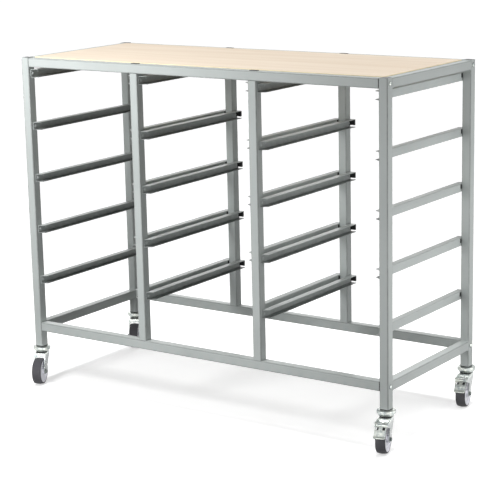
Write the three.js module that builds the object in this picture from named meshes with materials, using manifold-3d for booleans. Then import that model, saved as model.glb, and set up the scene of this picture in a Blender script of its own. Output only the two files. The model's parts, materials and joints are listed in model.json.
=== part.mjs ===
// A wheeled classroom tray storage unit: a square-tube frame with three bays of C-section tray runners,
// a wood-look panel let into the top frame, and four swivel castors, two of them with foot brakes.
// Millimetres. X runs along the bays, Y from the front to the back, Z up from the floor.

import * as THREE from "three";
import { mergeVertices } from "three/addons/utils/BufferGeometryUtils.js";
import Module from "manifold-3d";

// Frame
const TUBE = 25; // side of the square tube
const TUBE_WALL = 1.5;
const BAY_NAMES = ["left_bay", "middle_bay", "right_bay"];
const BAY_PITCH = 380; // post middle to post middle
const FRAME_DEPTH = 460; // outside to outside of the posts
const FOOT_LENGTH = 45.5; // corner post below the bottom rails

// Runners
const LEVELS = 5;
const LEVEL_PITCH = 147;
const LOW_SPACE = 114; // bottom rail to the lowest runner
const HIGH_SPACE = 7; // highest runner to the top rail
const RUNNER_HEIGHT = 22.5;
const RUNNER_WIDTH = 19; // back of the web to the flange tips
const RUNNER_WALL = 1.5;
const RUNNER_FRONT_INSET = 8; // from the front of the posts
const RUNNER_BACK_INSET = 5; // from the back of the posts
const LEAD_IN = 10; // how far back the flange tips are cut at the front
const STOP_LENGTH = 5; // tray stop across the back of the channel
const STOP_GAP = 4.5; // open slit under the stop

// Top panel and the tabs that carry it
const PANEL_THICKNESS = 18;
const PANEL_PROUD = 1.5; // above the rails
const PANEL_CLEARANCE = 0.3;
const TAB_WIDTH = 30;
const TAB_REACH = 15;
const TAB_THICKNESS = 2;

// Castors
const WHEEL_RADIUS = 37.5;
const WHEEL_WIDTH = 26;
const TYRE_DEPTH = 6;
const TYRE_SHOULDER = 4; // rounding of the tread's edges
const HUB_RECESS = 3; // hub face behind the tyre's side
const BOSS_RADIUS = 9;
const BOSS_REACH = 1.7; // hub boss beyond the tyre's side
const AXLE_RADIUS = 4;
const AXLE_HEAD_RADIUS = 6.5;
const AXLE_HEAD_LENGTH = 4;
const TRAIL = 30; // axle ahead of the swivel axis
const FORK_PLATE = 2.5;
const CROWN_THICKNESS = 3;
const CROWN_CLEARANCE = 10.4; // top of the wheel to the underside of the crown
const CROWN_FRONT = 27; // crown ahead of the swivel axis
const CROWN_BACK = 2; // where the crown's round end is centred
const APRON_CLEARANCE = 2; // top of the wheel to the fork's front apron
const LEG_BOSS_RADIUS = 9;
const LEG_BACK = 9; // top of the legs behind the swivel axis
const LEG_DROP = 8; // straight part of the legs' back edge under the crown
const LEG_FRONT_ANGLE = 170; // where the legs' edges meet the round end, round the axle from the back
const LEG_BACK_ANGLE = 320;
const RACE_RADIUS = 24.5;
const RACE_NECK_RADIUS = 20.5;
const RACE_HEIGHT = 18;
const RACE_RIM = 8; // depth of the race's widest part
const RACE_BEVEL = 3.5;
const KING_PIN_RADIUS = 6;
const KING_PIN_HEAD_RADIUS = 9;
const KING_PIN_HEAD = 2.5;
const PLUG_LENGTH = 32; // castor plug inside the post
const FIT_CLEARANCE = 0.3;
const SWIVEL_CLEARANCE = 0.6;
const CASTORS = [
  { name: "front_left", x: -1, y: -1, turn: 24, brake: false },
  { name: "front_right", x: 1, y: -1, turn: 16, brake: true },
  { name: "back_left", x: -1, y: 1, turn: 30, brake: false },
  { name: "back_right", x: 1, y: 1, turn: 13, brake: true },
];

// Foot brakes
const PEDAL_CLEARANCE = 7.5; // tread to pedal
const PEDAL_PLATE = 2;
const PEDAL_BARREL_RADIUS = 4;
const PEDAL_PIN_RADIUS = 2.5;
const PEDAL_LIP = 8;
const PEDAL_PIVOT_ANGLE = 116; // round the axle, from the back
const PEDAL_END_ANGLE = 157;
const PEDAL_LIP_ANGLE = 3;
const WINDOW_START_ANGLE = 126;
const WINDOW_END_ANGLE = 134;
const WINDOW_INNER = 3.5;
const WINDOW_OUTER = 11;
const EAR_RADIUS = 6;
const EAR_START_ANGLE = 80; // where the ear's upper edge leaves its round end

const OVERCUT = 1; // how far a cutting shape passes what it cuts
const ROUND_SIDES = 24;
const PIN_SIDES = 16;
const ARC_STEPS = 6;

// Worked out from the sizes above
const FRAME_WIDTH = BAY_NAMES.length * BAY_PITCH + TUBE;
const HUB_HALF = WHEEL_WIDTH / 2 + BOSS_REACH;
const LEG_INSIDE = HUB_HALF + FIT_CLEARANCE;
const LEG_OUTSIDE = LEG_INSIDE + FORK_PLATE;
const CROWN_UNDER = 2 * WHEEL_RADIUS + CROWN_CLEARANCE;
const CROWN_TOP = CROWN_UNDER + CROWN_THICKNESS;
const RACE_UNDER = CROWN_TOP + SWIVEL_CLEARANCE;
const POST_UNDER = RACE_UNDER + RACE_HEIGHT;
const BOTTOM_RAIL_UNDER = POST_UNDER + FOOT_LENGTH;
const BOTTOM_RAIL_TOP = BOTTOM_RAIL_UNDER + TUBE;
const LOW_RUNNER_UNDER = BOTTOM_RAIL_TOP + LOW_SPACE;
const HIGH_RUNNER_TOP = LOW_RUNNER_UNDER + (LEVELS - 1) * LEVEL_PITCH + RUNNER_HEIGHT;
const TOP_RAIL_UNDER = HIGH_RUNNER_TOP + HIGH_SPACE;
const TOP_RAIL_TOP = TOP_RAIL_UNDER + TUBE;
const INNER_WIDTH = FRAME_WIDTH - 2 * TUBE;
const INNER_DEPTH = FRAME_DEPTH - 2 * TUBE;
const POST_MIDDLE_X = (FRAME_WIDTH - TUBE) / 2;
const POST_MIDDLE_Y = (FRAME_DEPTH - TUBE) / 2;
const PANEL_TOP = TOP_RAIL_TOP + PANEL_PROUD;
const PANEL_UNDER = PANEL_TOP - PANEL_THICKNESS;
const AXLE = new THREE.Vector2(-TRAIL, WHEEL_RADIUS); // in the wheel's own YZ plane
const PEDAL_INNER = WHEEL_RADIUS + PEDAL_CLEARANCE;
const PEDAL_OUTER = PEDAL_INNER + PEDAL_PLATE;
const PEDAL_PIVOT = aroundAxle((PEDAL_INNER + PEDAL_OUTER) / 2, PEDAL_PIVOT_ANGLE);

const wasm = await Module();
wasm.setup();

const steel = { color: 0xb7c0bd, roughness: 0.5, metalness: 0.3 };
const zinc = { color: 0xc8ccce, roughness: 0.3, metalness: 0.9 };
const laminate = { color: 0xe6d5be, roughness: 0.5, metalness: 0 };
const rubber = { color: 0x47474f, roughness: 0.8, metalness: 0 };

function radians(degrees) {
  return THREE.MathUtils.degToRad(degrees);
}

// A point in the wheel's YZ plane, at a radius and an angle round the axle.
function aroundAxle(radius, degrees) {
  const angle = radians(degrees);
  return new THREE.Vector2(AXLE.x + radius * Math.cos(angle), AXLE.y + radius * Math.sin(angle));
}

function solid(geometry) {
  const bare = geometry.clone();
  bare.deleteAttribute("normal");
  bare.deleteAttribute("uv");
  const merged = mergeVertices(bare, 1e-4);
  const vertProperties = new Float32Array(merged.attributes.position.array);
  const triVerts = new Uint32Array(merged.index.array);
  return new wasm.Manifold(new wasm.Mesh({ numProp: 3, vertProperties, triVerts }));
}

function surface(manifold) {
  const mesh = manifold.getMesh();
  const geometry = new THREE.BufferGeometry();
  geometry.setAttribute("position", new THREE.BufferAttribute(mesh.vertProperties, 3));
  geometry.setIndex(new THREE.BufferAttribute(mesh.triVerts, 1));
  geometry.computeVertexNormals();
  return geometry;
}

function join(...geometries) {
  return surface(geometries.map(solid).reduce((whole, piece) => whole.add(piece)));
}

function cut(geometry, ...tools) {
  return surface(tools.map(solid).reduce((whole, tool) => whole.subtract(tool), solid(geometry)));
}

// A box between two corners.
function box(x0, x1, y0, y1, z0, z1) {
  const geometry = new THREE.BoxGeometry(x1 - x0, y1 - y0, z1 - z0);
  return geometry.translate((x0 + x1) / 2, (y0 + y1) / 2, (z0 + z1) / 2);
}

function extrude(shape, depth) {
  return new THREE.ExtrudeGeometry(shape, { depth, bevelEnabled: false, curveSegments: ARC_STEPS });
}

// A shape drawn in YZ, extruded along X.
function extrudeX(shape, from, to) {
  const turn = new THREE.Matrix4().makeBasis(
    new THREE.Vector3(0, 1, 0),
    new THREE.Vector3(0, 0, 1),
    new THREE.Vector3(1, 0, 0),
  );
  return extrude(shape, to - from).applyMatrix4(turn).translate(from, 0, 0);
}

// A shape drawn in XZ, extruded along Y.
function extrudeY(shape, from, to) {
  return extrude(shape, to - from).rotateX(Math.PI / 2).translate(0, to, 0);
}

function outline(points) {
  return new THREE.Shape(points.map(([a, b]) => new THREE.Vector2(a, b)));
}

// A cylinder along X whose flats touch the given radius.
function pinX(radius, from, to, y, z) {
  const corner = radius / Math.cos(Math.PI / PIN_SIDES);
  const geometry = new THREE.CylinderGeometry(corner, corner, to - from, PIN_SIDES);
  return geometry.rotateZ(Math.PI / 2).translate((from + to) / 2, y, z);
}

// A turned profile of [radius, height] points, with flats at the stated radii and one flat facing -X.
function turned(points, sides) {
  const corner = 1 / Math.cos(Math.PI / sides);
  const profile = points.map(([radius, height]) => new THREE.Vector2(radius * corner, height));
  return new THREE.LatheGeometry(profile, sides, Math.PI / sides);
}

const unit = new THREE.Group();

function place(parent, name, geometry, finish) {
  const mesh = new THREE.Mesh(geometry, new THREE.MeshStandardMaterial(finish));
  mesh.name = name;
  parent.add(mesh);
  return mesh;
}

// Square tube between two corners, open at both ends along one axis.
function tube(axis, x0, x1, y0, y1, z0, z1) {
  const w = TUBE_WALL;
  const [wx, wy, wz] = ["x", "y", "z"].map((name) => (name === axis ? -w : w));
  return cut(box(x0, x1, y0, y1, z0, z1), box(x0 + wx, x1 - wx, y0 + wy, y1 - wy, z0 + wz, z1 - wz));
}

// A welded end frame: two corner posts joined by a top and a bottom side rail. The rails open into the posts.
function endFrame(side) {
  const outside = (side * FRAME_WIDTH) / 2;
  const inside = outside - side * TUBE;
  const x0 = Math.min(outside, inside);
  const x1 = Math.max(outside, inside);
  const half = FRAME_DEPTH / 2;
  const w = TUBE_WALL;
  const railUnders = [BOTTOM_RAIL_UNDER, TOP_RAIL_UNDER];
  const ends = [
    [-half, -half + TUBE],
    [half - TUBE, half],
  ];
  const posts = ends.map(([y0, y1]) => box(x0, x1, y0, y1, POST_UNDER, TOP_RAIL_TOP));
  const rails = railUnders.map((z) => box(x0, x1, -half + TUBE / 2, half - TUBE / 2, z, z + TUBE));
  const postBores = ends.map(([y0, y1]) => {
    return box(x0 + w, x1 - w, y0 + w, y1 - w, POST_UNDER - w, TOP_RAIL_TOP + w);
  });
  const railBores = railUnders.map((z) => {
    return box(x0 + w, x1 - w, -half + TUBE / 2, half - TUBE / 2, z + w, z + TUBE - w);
  });
  return cut(join(...posts, ...rails), ...postBores, ...railBores);
}

// A top rail with the tabs that carry the panel; inward is the way from this rail into the frame.
function topRail(y0, inward) {
  const inner = inward > 0 ? y0 + TUBE : y0;
  const rail = tube("x", -INNER_WIDTH / 2, INNER_WIDTH / 2, y0, y0 + TUBE, TOP_RAIL_UNDER, TOP_RAIL_TOP);
  const tabs = BAY_NAMES.map((_, bay) => {
    const x = bayMiddle(bay);
    const reach = inner + inward * TAB_REACH;
    const root = inner - (inward * TUBE_WALL) / 2;
    const [back, front] = [Math.min(reach, root), Math.max(reach, root)];
    return box(x - TAB_WIDTH / 2, x + TAB_WIDTH / 2, back, front, PANEL_UNDER - TAB_THICKNESS, PANEL_UNDER);
  });
  return join(rail, ...tabs);
}

function bayMiddle(bay) {
  return (bay - (BAY_NAMES.length - 1) / 2) * BAY_PITCH;
}

// A C-section runner. Its web lies on the posts at x, and its flanges point the way of side.
function runner(x, side, under) {
  const front = -FRAME_DEPTH / 2 + RUNNER_FRONT_INSET;
  const back = FRAME_DEPTH / 2 - RUNNER_BACK_INSET;
  const top = under + RUNNER_HEIGHT;
  const tip = x + side * RUNNER_WIDTH;
  const face = x + side * RUNNER_WALL;
  const section = outline([
    [x, under],
    [tip, under],
    [tip, under + RUNNER_WALL],
    [face, under + RUNNER_WALL],
    [face, top - RUNNER_WALL],
    [tip, top - RUNNER_WALL],
    [tip, top],
    [x, top],
  ]);
  const corner = outline([
    [face, front - OVERCUT],
    [tip + side * OVERCUT, front - OVERCUT],
    [tip + side * OVERCUT, front + LEAD_IN],
    [tip, front + LEAD_IN],
    [face, front],
  ]);
  const leadIn = extrude(corner, RUNNER_HEIGHT + 2 * OVERCUT).translate(0, 0, under - OVERCUT);
  const stopUnder = under + RUNNER_WALL + STOP_GAP;
  const [x0, x1] = [Math.min(x, tip), Math.max(x, tip)];
  const stop = box(x0, x1, back - STOP_LENGTH, back, stopUnder, top);
  return join(cut(extrudeY(section, front, back), leadIn), stop);
}

// Castor plug, upper race and king pin, fixed in the post.
function castorStem() {
  const headTop = CROWN_UNDER - SWIVEL_CLEARANCE;
  const race = turned(
    [
      [0, headTop - KING_PIN_HEAD],
      [KING_PIN_HEAD_RADIUS, headTop - KING_PIN_HEAD],
      [KING_PIN_HEAD_RADIUS, headTop],
      [KING_PIN_RADIUS, headTop],
      [KING_PIN_RADIUS, RACE_UNDER],
      [RACE_NECK_RADIUS, RACE_UNDER],
      [RACE_NECK_RADIUS, POST_UNDER - RACE_RIM - 2 * RACE_BEVEL],
      [RACE_RADIUS, POST_UNDER - RACE_RIM - RACE_BEVEL / 2],
      [RACE_RADIUS, POST_UNDER - RACE_BEVEL],
      [RACE_RADIUS - RACE_BEVEL, POST_UNDER],
      [0, POST_UNDER],
    ],
    ROUND_SIDES,
  ).rotateX(Math.PI / 2);
  const half = TUBE / 2 - TUBE_WALL - FIT_CLEARANCE;
  const root = POST_UNDER - RACE_RIM / 2;
  return join(race, box(-half, half, -half, half, root, POST_UNDER + PLUG_LENGTH));
}

function legShape() {
  const shape = new THREE.Shape();
  shape.moveTo(-CROWN_FRONT, CROWN_TOP);
  shape.absarc(AXLE.x, AXLE.y, LEG_BOSS_RADIUS, radians(LEG_FRONT_ANGLE), radians(LEG_BACK_ANGLE), false);
  shape.lineTo(LEG_BACK, CROWN_UNDER - LEG_DROP);
  shape.lineTo(LEG_BACK, CROWN_TOP);
  return shape;
}

// The ear that carries a foot brake's pivot, running from the pivot back into the leg.
function earShape() {
  const shape = new THREE.Shape();
  const start = radians(EAR_START_ANGLE);
  shape.absarc(PEDAL_PIVOT.x, PEDAL_PIVOT.y, EAR_RADIUS, start, start + Math.PI, false);
  shape.lineTo(-CROWN_FRONT, PEDAL_PIVOT.y - 2 * EAR_RADIUS);
  shape.lineTo(-CROWN_FRONT + FORK_PLATE, CROWN_TOP - FORK_PLATE / 2);
  return shape;
}

function fork(brake) {
  const crown = outline([
    [-LEG_OUTSIDE, -CROWN_FRONT],
    [LEG_OUTSIDE, -CROWN_FRONT],
  ]);
  crown.absarc(0, CROWN_BACK, LEG_OUTSIDE, 0, Math.PI, false);
  const apronUnder = 2 * WHEEL_RADIUS + APRON_CLEARANCE;
  const pieces = [
    extrude(crown, CROWN_THICKNESS).translate(0, 0, CROWN_UNDER),
    box(-LEG_OUTSIDE, LEG_OUTSIDE, -CROWN_FRONT, -CROWN_FRONT + FORK_PLATE, apronUnder, CROWN_TOP),
  ];
  const holes = [pinX(AXLE_RADIUS + FIT_CLEARANCE, -2 * LEG_OUTSIDE, 2 * LEG_OUTSIDE, AXLE.x, AXLE.y)];
  for (const from of [-LEG_OUTSIDE, LEG_INSIDE]) {
    pieces.push(extrudeX(legShape(), from, from + FORK_PLATE));
    if (brake) pieces.push(extrudeX(earShape(), from, from + FORK_PLATE));
  }
  const pinHole = new THREE.CylinderGeometry(1, 1, 1, ROUND_SIDES);
  const pinRadius = (KING_PIN_RADIUS + FIT_CLEARANCE) / Math.cos(Math.PI / ROUND_SIDES);
  pinHole.scale(pinRadius, 3 * CROWN_THICKNESS, pinRadius);
  holes.push(pinHole.rotateX(Math.PI / 2).translate(0, 0, CROWN_UNDER));
  if (brake) {
    const { x: y, y: z } = PEDAL_PIVOT;
    holes.push(pinX(PEDAL_PIN_RADIUS + FIT_CLEARANCE, -2 * LEG_OUTSIDE, 2 * LEG_OUTSIDE, y, z));
  }
  return cut(join(...pieces), ...holes);
}

function axle() {
  const seat = LEG_OUTSIDE + FIT_CLEARANCE;
  const end = seat + AXLE_HEAD_LENGTH;
  const profile = [
    [0, -end],
    [AXLE_HEAD_RADIUS, -end],
    [AXLE_HEAD_RADIUS, -seat],
    [AXLE_RADIUS, -seat],
    [AXLE_RADIUS, seat],
    [AXLE_HEAD_RADIUS, seat],
    [AXLE_HEAD_RADIUS, end],
    [0, end],
  ];
  return turned(profile, PIN_SIDES).rotateZ(-Math.PI / 2).translate(0, AXLE.x, AXLE.y);
}

// Hub with its moulded-on tyre, turned round the axle.
function wheel() {
  const half = WHEEL_WIDTH / 2;
  const bore = AXLE_RADIUS + FIT_CLEARANCE;
  const rim = WHEEL_RADIUS - TYRE_DEPTH;
  const face = half - HUB_RECESS;
  const bevel = TYRE_SHOULDER * (1 - Math.SQRT1_2);
  const side = [
    [bore, HUB_HALF],
    [BOSS_RADIUS, HUB_HALF],
    [BOSS_RADIUS, face],
    [rim - HUB_RECESS, face],
    [rim, half],
    [WHEEL_RADIUS - TYRE_SHOULDER, half],
    [WHEEL_RADIUS - bevel, half - bevel],
    [WHEEL_RADIUS, half - TYRE_SHOULDER],
  ];
  const mirrored = side.map(([radius, height]) => [radius, -height]);
  const profile = [...mirrored, ...side.reverse(), mirrored[0]];
  return turned(profile, ROUND_SIDES).rotateZ(-Math.PI / 2).translate(0, AXLE.x, AXLE.y);
}

// A band of the pedal that follows the tread, between two angles and two radii.
function pedalBand(inner, outer, start, end) {
  const shape = new THREE.Shape();
  shape.absarc(AXLE.x, AXLE.y, outer, radians(start), radians(end), false);
  shape.absarc(AXLE.x, AXLE.y, inner, radians(end), radians(start), true);
  return shape;
}

// A foot brake: a barrel on two pins, and a windowed plate that follows the tread to a lip.
function pedal() {
  const { x: y, y: z } = PEDAL_PIVOT;
  const half = LEG_INSIDE - FIT_CLEARANCE;
  const plate = pedalBand(PEDAL_INNER, PEDAL_OUTER, PEDAL_PIVOT_ANGLE, PEDAL_END_ANGLE);
  const lipEnd = PEDAL_END_ANGLE + PEDAL_LIP_ANGLE;
  const lip = pedalBand(PEDAL_INNER, PEDAL_OUTER + PEDAL_LIP, PEDAL_END_ANGLE - PEDAL_LIP_ANGLE / 2, lipEnd);
  const window = pedalBand(
    PEDAL_INNER - PEDAL_PLATE,
    PEDAL_OUTER + PEDAL_PLATE,
    WINDOW_START_ANGLE,
    WINDOW_END_ANGLE,
  );
  const whole = join(
    pinX(PEDAL_PIN_RADIUS, -LEG_OUTSIDE, LEG_OUTSIDE, y, z),
    pinX(PEDAL_BARREL_RADIUS, -half, half, y, z),
    extrudeX(plate, -half, half),
    extrudeX(lip, -half, half),
  );
  return cut(
    whole,
    extrudeX(window, -WINDOW_OUTER, -WINDOW_INNER),
    extrudeX(window, WINDOW_INNER, WINDOW_OUTER),
  );
}

function addFrame() {
  const front = -FRAME_DEPTH / 2;
  const back = FRAME_DEPTH / 2 - TUBE;
  const [left, right] = [-INNER_WIDTH / 2, INNER_WIDTH / 2];
  place(unit, "end_frame_left", endFrame(-1), steel);
  place(unit, "end_frame_right", endFrame(1), steel);
  place(unit, "top_rail_front", topRail(front, 1), steel);
  place(unit, "top_rail_back", topRail(back, -1), steel);
  for (const [name, y] of [["front", front], ["back", back]]) {
    const rail = tube("x", left, right, y, y + TUBE, BOTTOM_RAIL_UNDER, BOTTOM_RAIL_TOP);
    place(unit, `bottom_rail_${name}`, rail, steel);
    for (const [side, x] of [["left", -BAY_PITCH / 2], ["right", BAY_PITCH / 2]]) {
      const [x0, x1] = [x - TUBE / 2, x + TUBE / 2];
      const post = tube("z", x0, x1, y, y + TUBE, BOTTOM_RAIL_TOP, TOP_RAIL_UNDER);
      place(unit, `middle_post_${name}_${side}`, post, steel);
    }
  }
}

function addPanel() {
  const halfX = INNER_WIDTH / 2 - PANEL_CLEARANCE;
  const halfY = INNER_DEPTH / 2 - PANEL_CLEARANCE;
  place(unit, "top_panel", box(-halfX, halfX, -halfY, halfY, PANEL_UNDER, PANEL_TOP), laminate);
}

function addRunners() {
  const clear = BAY_PITCH - TUBE;
  BAY_NAMES.forEach((bayName, bay) => {
    for (const [sideName, side] of [["left", 1], ["right", -1]]) {
      const x = bayMiddle(bay) - (side * clear) / 2;
      for (let level = 0; level < LEVELS; level += 1) {
        const under = LOW_RUNNER_UNDER + level * LEVEL_PITCH;
        place(unit, `${bayName}_runner_${sideName}_${level + 1}`, runner(x, side, under), steel);
      }
    }
  });
}

function addCastors() {
  for (const { name, x, y, turn, brake } of CASTORS) {
    const castor = new THREE.Group();
    castor.position.set(x * POST_MIDDLE_X, y * POST_MIDDLE_Y, 0);
    unit.add(castor);
    place(castor, `castor_${name}_stem`, castorStem(), zinc);
    const swivel = new THREE.Group();
    swivel.rotation.z = radians(turn);
    castor.add(swivel);
    place(swivel, `castor_${name}_fork`, fork(brake), zinc);
    place(swivel, `castor_${name}_axle`, axle(), zinc);
    place(swivel, `castor_${name}_wheel`, wheel(), rubber);
    if (brake) place(swivel, `castor_${name}_pedal`, pedal(), zinc);
  }
}

addFrame();
addPanel();
addRunners();
addCastors();

// The origin is on the floor, under the middle of the unit's outer box.
const middle = new THREE.Box3().setFromObject(unit, true).getCenter(new THREE.Vector3());
unit.position.set(-middle.x, -middle.y, 0);
unit.updateMatrixWorld(true);

export default unit;
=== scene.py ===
"""A wheeled classroom tray storage unit: its looks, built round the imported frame.

Laid out as an add-on and run as a script. Metres, X along the bays, Y from front to back, Z up from the floor.
"""

import json
import math

import bpy
import numpy as np
from bpy.props import FloatProperty, FloatVectorProperty, IntProperty, PointerProperty
from mathutils import Matrix, Vector


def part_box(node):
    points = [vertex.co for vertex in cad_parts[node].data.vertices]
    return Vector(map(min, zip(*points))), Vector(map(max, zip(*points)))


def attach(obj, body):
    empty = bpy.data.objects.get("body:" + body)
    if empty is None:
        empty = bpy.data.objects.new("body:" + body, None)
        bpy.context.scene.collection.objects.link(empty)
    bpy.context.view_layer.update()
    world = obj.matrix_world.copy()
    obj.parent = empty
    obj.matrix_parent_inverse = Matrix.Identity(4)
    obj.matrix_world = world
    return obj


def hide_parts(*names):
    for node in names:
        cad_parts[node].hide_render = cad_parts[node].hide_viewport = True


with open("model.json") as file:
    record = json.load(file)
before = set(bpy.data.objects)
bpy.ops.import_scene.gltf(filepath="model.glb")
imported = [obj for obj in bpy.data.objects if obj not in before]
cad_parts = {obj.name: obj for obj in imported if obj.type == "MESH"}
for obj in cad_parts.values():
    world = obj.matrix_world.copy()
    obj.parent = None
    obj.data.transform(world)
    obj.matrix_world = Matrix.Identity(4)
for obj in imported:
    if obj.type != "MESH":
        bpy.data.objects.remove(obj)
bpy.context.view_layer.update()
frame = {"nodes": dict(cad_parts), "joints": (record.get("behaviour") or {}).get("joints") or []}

bl_info = {
    "name": "Tray storage unit",
    "version": (1, 0, 0),
    "blender": (4, 5, 0),
    "location": "View3D > Sidebar > Tray unit",
    "description": "Builds the visible pieces of a wheeled tray storage unit round its packed frame",
    "category": "Object",
}

MM = 0.001
BAYS = ("left_bay", "middle_bay", "right_bay")
SIDES = {"left": 1.0, "right": -1.0}
DEPTHS = ("front", "back")
CASTORS = ("front_left", "front_right", "back_left", "back_right")
BRAKED = tuple(c for c in CASTORS if f"castor_{c}_pedal" in frame["nodes"])
LEVELS = sum(n.startswith("left_bay_runner_left_") for n in frame["nodes"])
ALONG_X = np.array([[0.0, 1, 0], [0, 0, 1], [1, 0, 0]])
ALONG_Y = np.array([[0.0, 0, 1], [1, 0, 0], [0, 1, 0]])
ALONG_Z = np.eye(3)
PEDAL_TURNS = (116, 124.5, 135.5, 157)  # pivot, window, window, end: degrees round the axle from the back
LEAD = 0.4 * MM  # flat strip beside a rounded edge, which keeps the flats flat
SMOOTH_ANGLE = math.radians(38)


def node_box(node):
    """The lowest and highest corner of a node, as an array of two points."""
    return np.array(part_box(node))


JOINTS = {j["name"]: j for j in frame["joints"]}
TUBE_SIDE = float(np.ptp(node_box("middle_post_front_left")[:, 0]))
RUNNER_BOX = node_box("left_bay_runner_left_1")
WHEEL_RADIUS = float(JOINTS["front_left_wheel_spin"]["pos_m"][2])
PIN = np.array(JOINTS["front_left_swivel"]["pos_m"][:2])
TRAIL = float(np.linalg.norm(np.array(JOINTS["front_left_wheel_spin"]["pos_m"][:2]) - PIN))
CROWN_TOP = float(node_box("castor_front_left_fork")[1, 2])
POST_UNDER = float(node_box("end_frame_left")[0, 2])


def length(name, description, default):
    """A size in metres that a user may change."""
    return FloatProperty(name=name, description=description, default=default, min=0.0, unit="LENGTH", precision=4)


def colour(name, description, default):
    """A surface colour that a user may change."""
    return FloatVectorProperty(
        name=name, description=description, default=default, size=3, min=0.0, max=1.0, subtype="COLOR"
    )


def share(name, description, default):
    """A share from 0 to 1 that a user may change."""
    return FloatProperty(name=name, description=description, default=default, min=0.0, max=1.0, subtype="FACTOR")


class TrayUnitFrame(bpy.types.PropertyGroup):
    """Sizes of the tube frame, the runners and the top."""

    tube: length("Tube", "Outside width of the square tube", TUBE_SIDE)
    wall: length("Tube wall", "Wall of the square tube", 1.5 * MM)
    tube_corner: length("Tube corner", "Outside rounding of the tube's corners", 2.4 * MM)
    weld: length("Weld", "Radius of the weld beads on the end frames", 1.9 * MM)
    plug: length("Rail plug", "Plastic plug plate between a rail and a corner post", 1.1 * MM)
    cap: length("Post cap", "Thickness of the plastic cap on a corner post", 2.4 * MM)
    runner_wall: length("Runner sheet", "Sheet that the runners are bent from", 1.5 * MM)
    runner_bend: length("Runner bend", "Rounding of the runners' bends, at the middle of the sheet", 1.75 * MM)
    lead_in: length("Lead-in", "How far back the flange tips are cut at the front", 10 * MM)
    stop: length("Tray stop", "Length of the plastic stop at the back of a runner", 5 * MM)
    stop_gap: length("Stop slit", "Open slit under a tray stop", 4.5 * MM)
    screw: length("Runner screw", "Radius of the screw heads that hold the runners", 4.2 * MM)
    bolt: length("Frame bolt", "Radius of the bolt heads in the corner posts", 4.5 * MM)
    band: length("Edge band", "Plastic edge band round the top panel", 1.5 * MM)


class TrayUnitCastor(bpy.types.PropertyGroup):
    """Sizes of the castors and their foot brakes."""

    wheel: length("Wheel radius", "Radius of the tread", WHEEL_RADIUS)
    width: length("Wheel width", "Width of the tread", 26 * MM)
    tyre: length("Tyre depth", "Depth of the tyre on its hub", 6 * MM)
    shoulder: length("Shoulder", "Rounding of the tread's edges", 4.5 * MM)
    crown: length("Crown", "Rise of the tread from its edges to its middle", 1.6 * MM)
    boss: length("Boss radius", "Radius of the hub's boss", 9 * MM)
    boss_reach: length("Boss reach", "Hub boss beyond the tyre's side", 1.7 * MM)
    axle: length("Axle radius", "Radius of the axle bolt", 4 * MM)
    sheet: length("Fork sheet", "Pressed sheet of the fork", 2.5 * MM)
    ring: length("Ring radius", "Radius of the ball race ring under the post", 24.5 * MM)
    # Thickness of the black collar under each post: a dark sheet painted in as the shade where post and ring meet
    collar: length("Collar", "Plastic collar between a post and its castor", 1.7 * MM)
    neck: length("Neck radius", "Radius of the ring's lower part", 20.5 * MM)
    pedal: length("Pedal sheet", "Pressed sheet of the foot brake", 2 * MM)
    pedal_gap: length("Pedal gap", "Tread to the foot brake", 7.5 * MM)
    sides: IntProperty(name="Round sides", description="Steps round a turned piece", default=72, min=12, max=180)


class TrayUnitFinish(bpy.types.PropertyGroup):
    """Colours of the finishes."""

    coat: colour("Powder coat", "Silver-grey coat of the frame and runners", (0.455, 0.487, 0.478))
    wood: colour("Wood", "Mean tone of the birch-look laminate", (0.93, 0.80, 0.647))
    grain: colour("Wood grain", "Darker fibres of the laminate", (0.784, 0.633, 0.47))
    band: colour("Edge band", "Plastic edge of the top panel", (0.97, 0.82, 0.55))
    zinc: colour("Zinc", "Zinc plate of the castor rings and bolts", (0.50, 0.525, 0.52))
    fork_zinc: colour("Fork zinc", "Brighter zinc plate of the castor forks", (0.66, 0.69, 0.69))
    pedal_zinc: colour("Pedal zinc", "Straw-coloured zinc plate of the foot brakes", (0.57, 0.595, 0.585))
    bolt_steel: colour("Bolt steel", "Axle bolts and nuts", (0.19, 0.21, 0.205))
    rubber: colour("Rubber", "Tyre tread", (0.052, 0.051, 0.058))
    hub: colour("Hub", "Moulded wheel hub", (0.86, 0.86, 0.93))
    black: colour("Black plastic", "Stops, plugs and pads", (0.016, 0.016, 0.017))
    cap: colour("Cap plastic", "Caps on the corner posts", (0.10, 0.105, 0.105))
    # Corners: strength of the painted shade along the tubes' rounded corners
    painted_shade: share("Corners", "How thin the coat is on the tubes' corners", 0.6)
    # Channels: strength of the painted shade inside the runners, darkest on the lower flange
    channel: share("Channels", "How thin the coat is inside the runners", 0.9)
    # Fork legs: strength of the painted shade that darkens the bright reflection on the outside of the fork legs
    leg_shade: share("Fork legs", "How dull the zinc is on the outside of the fork legs", 0.85)


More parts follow.
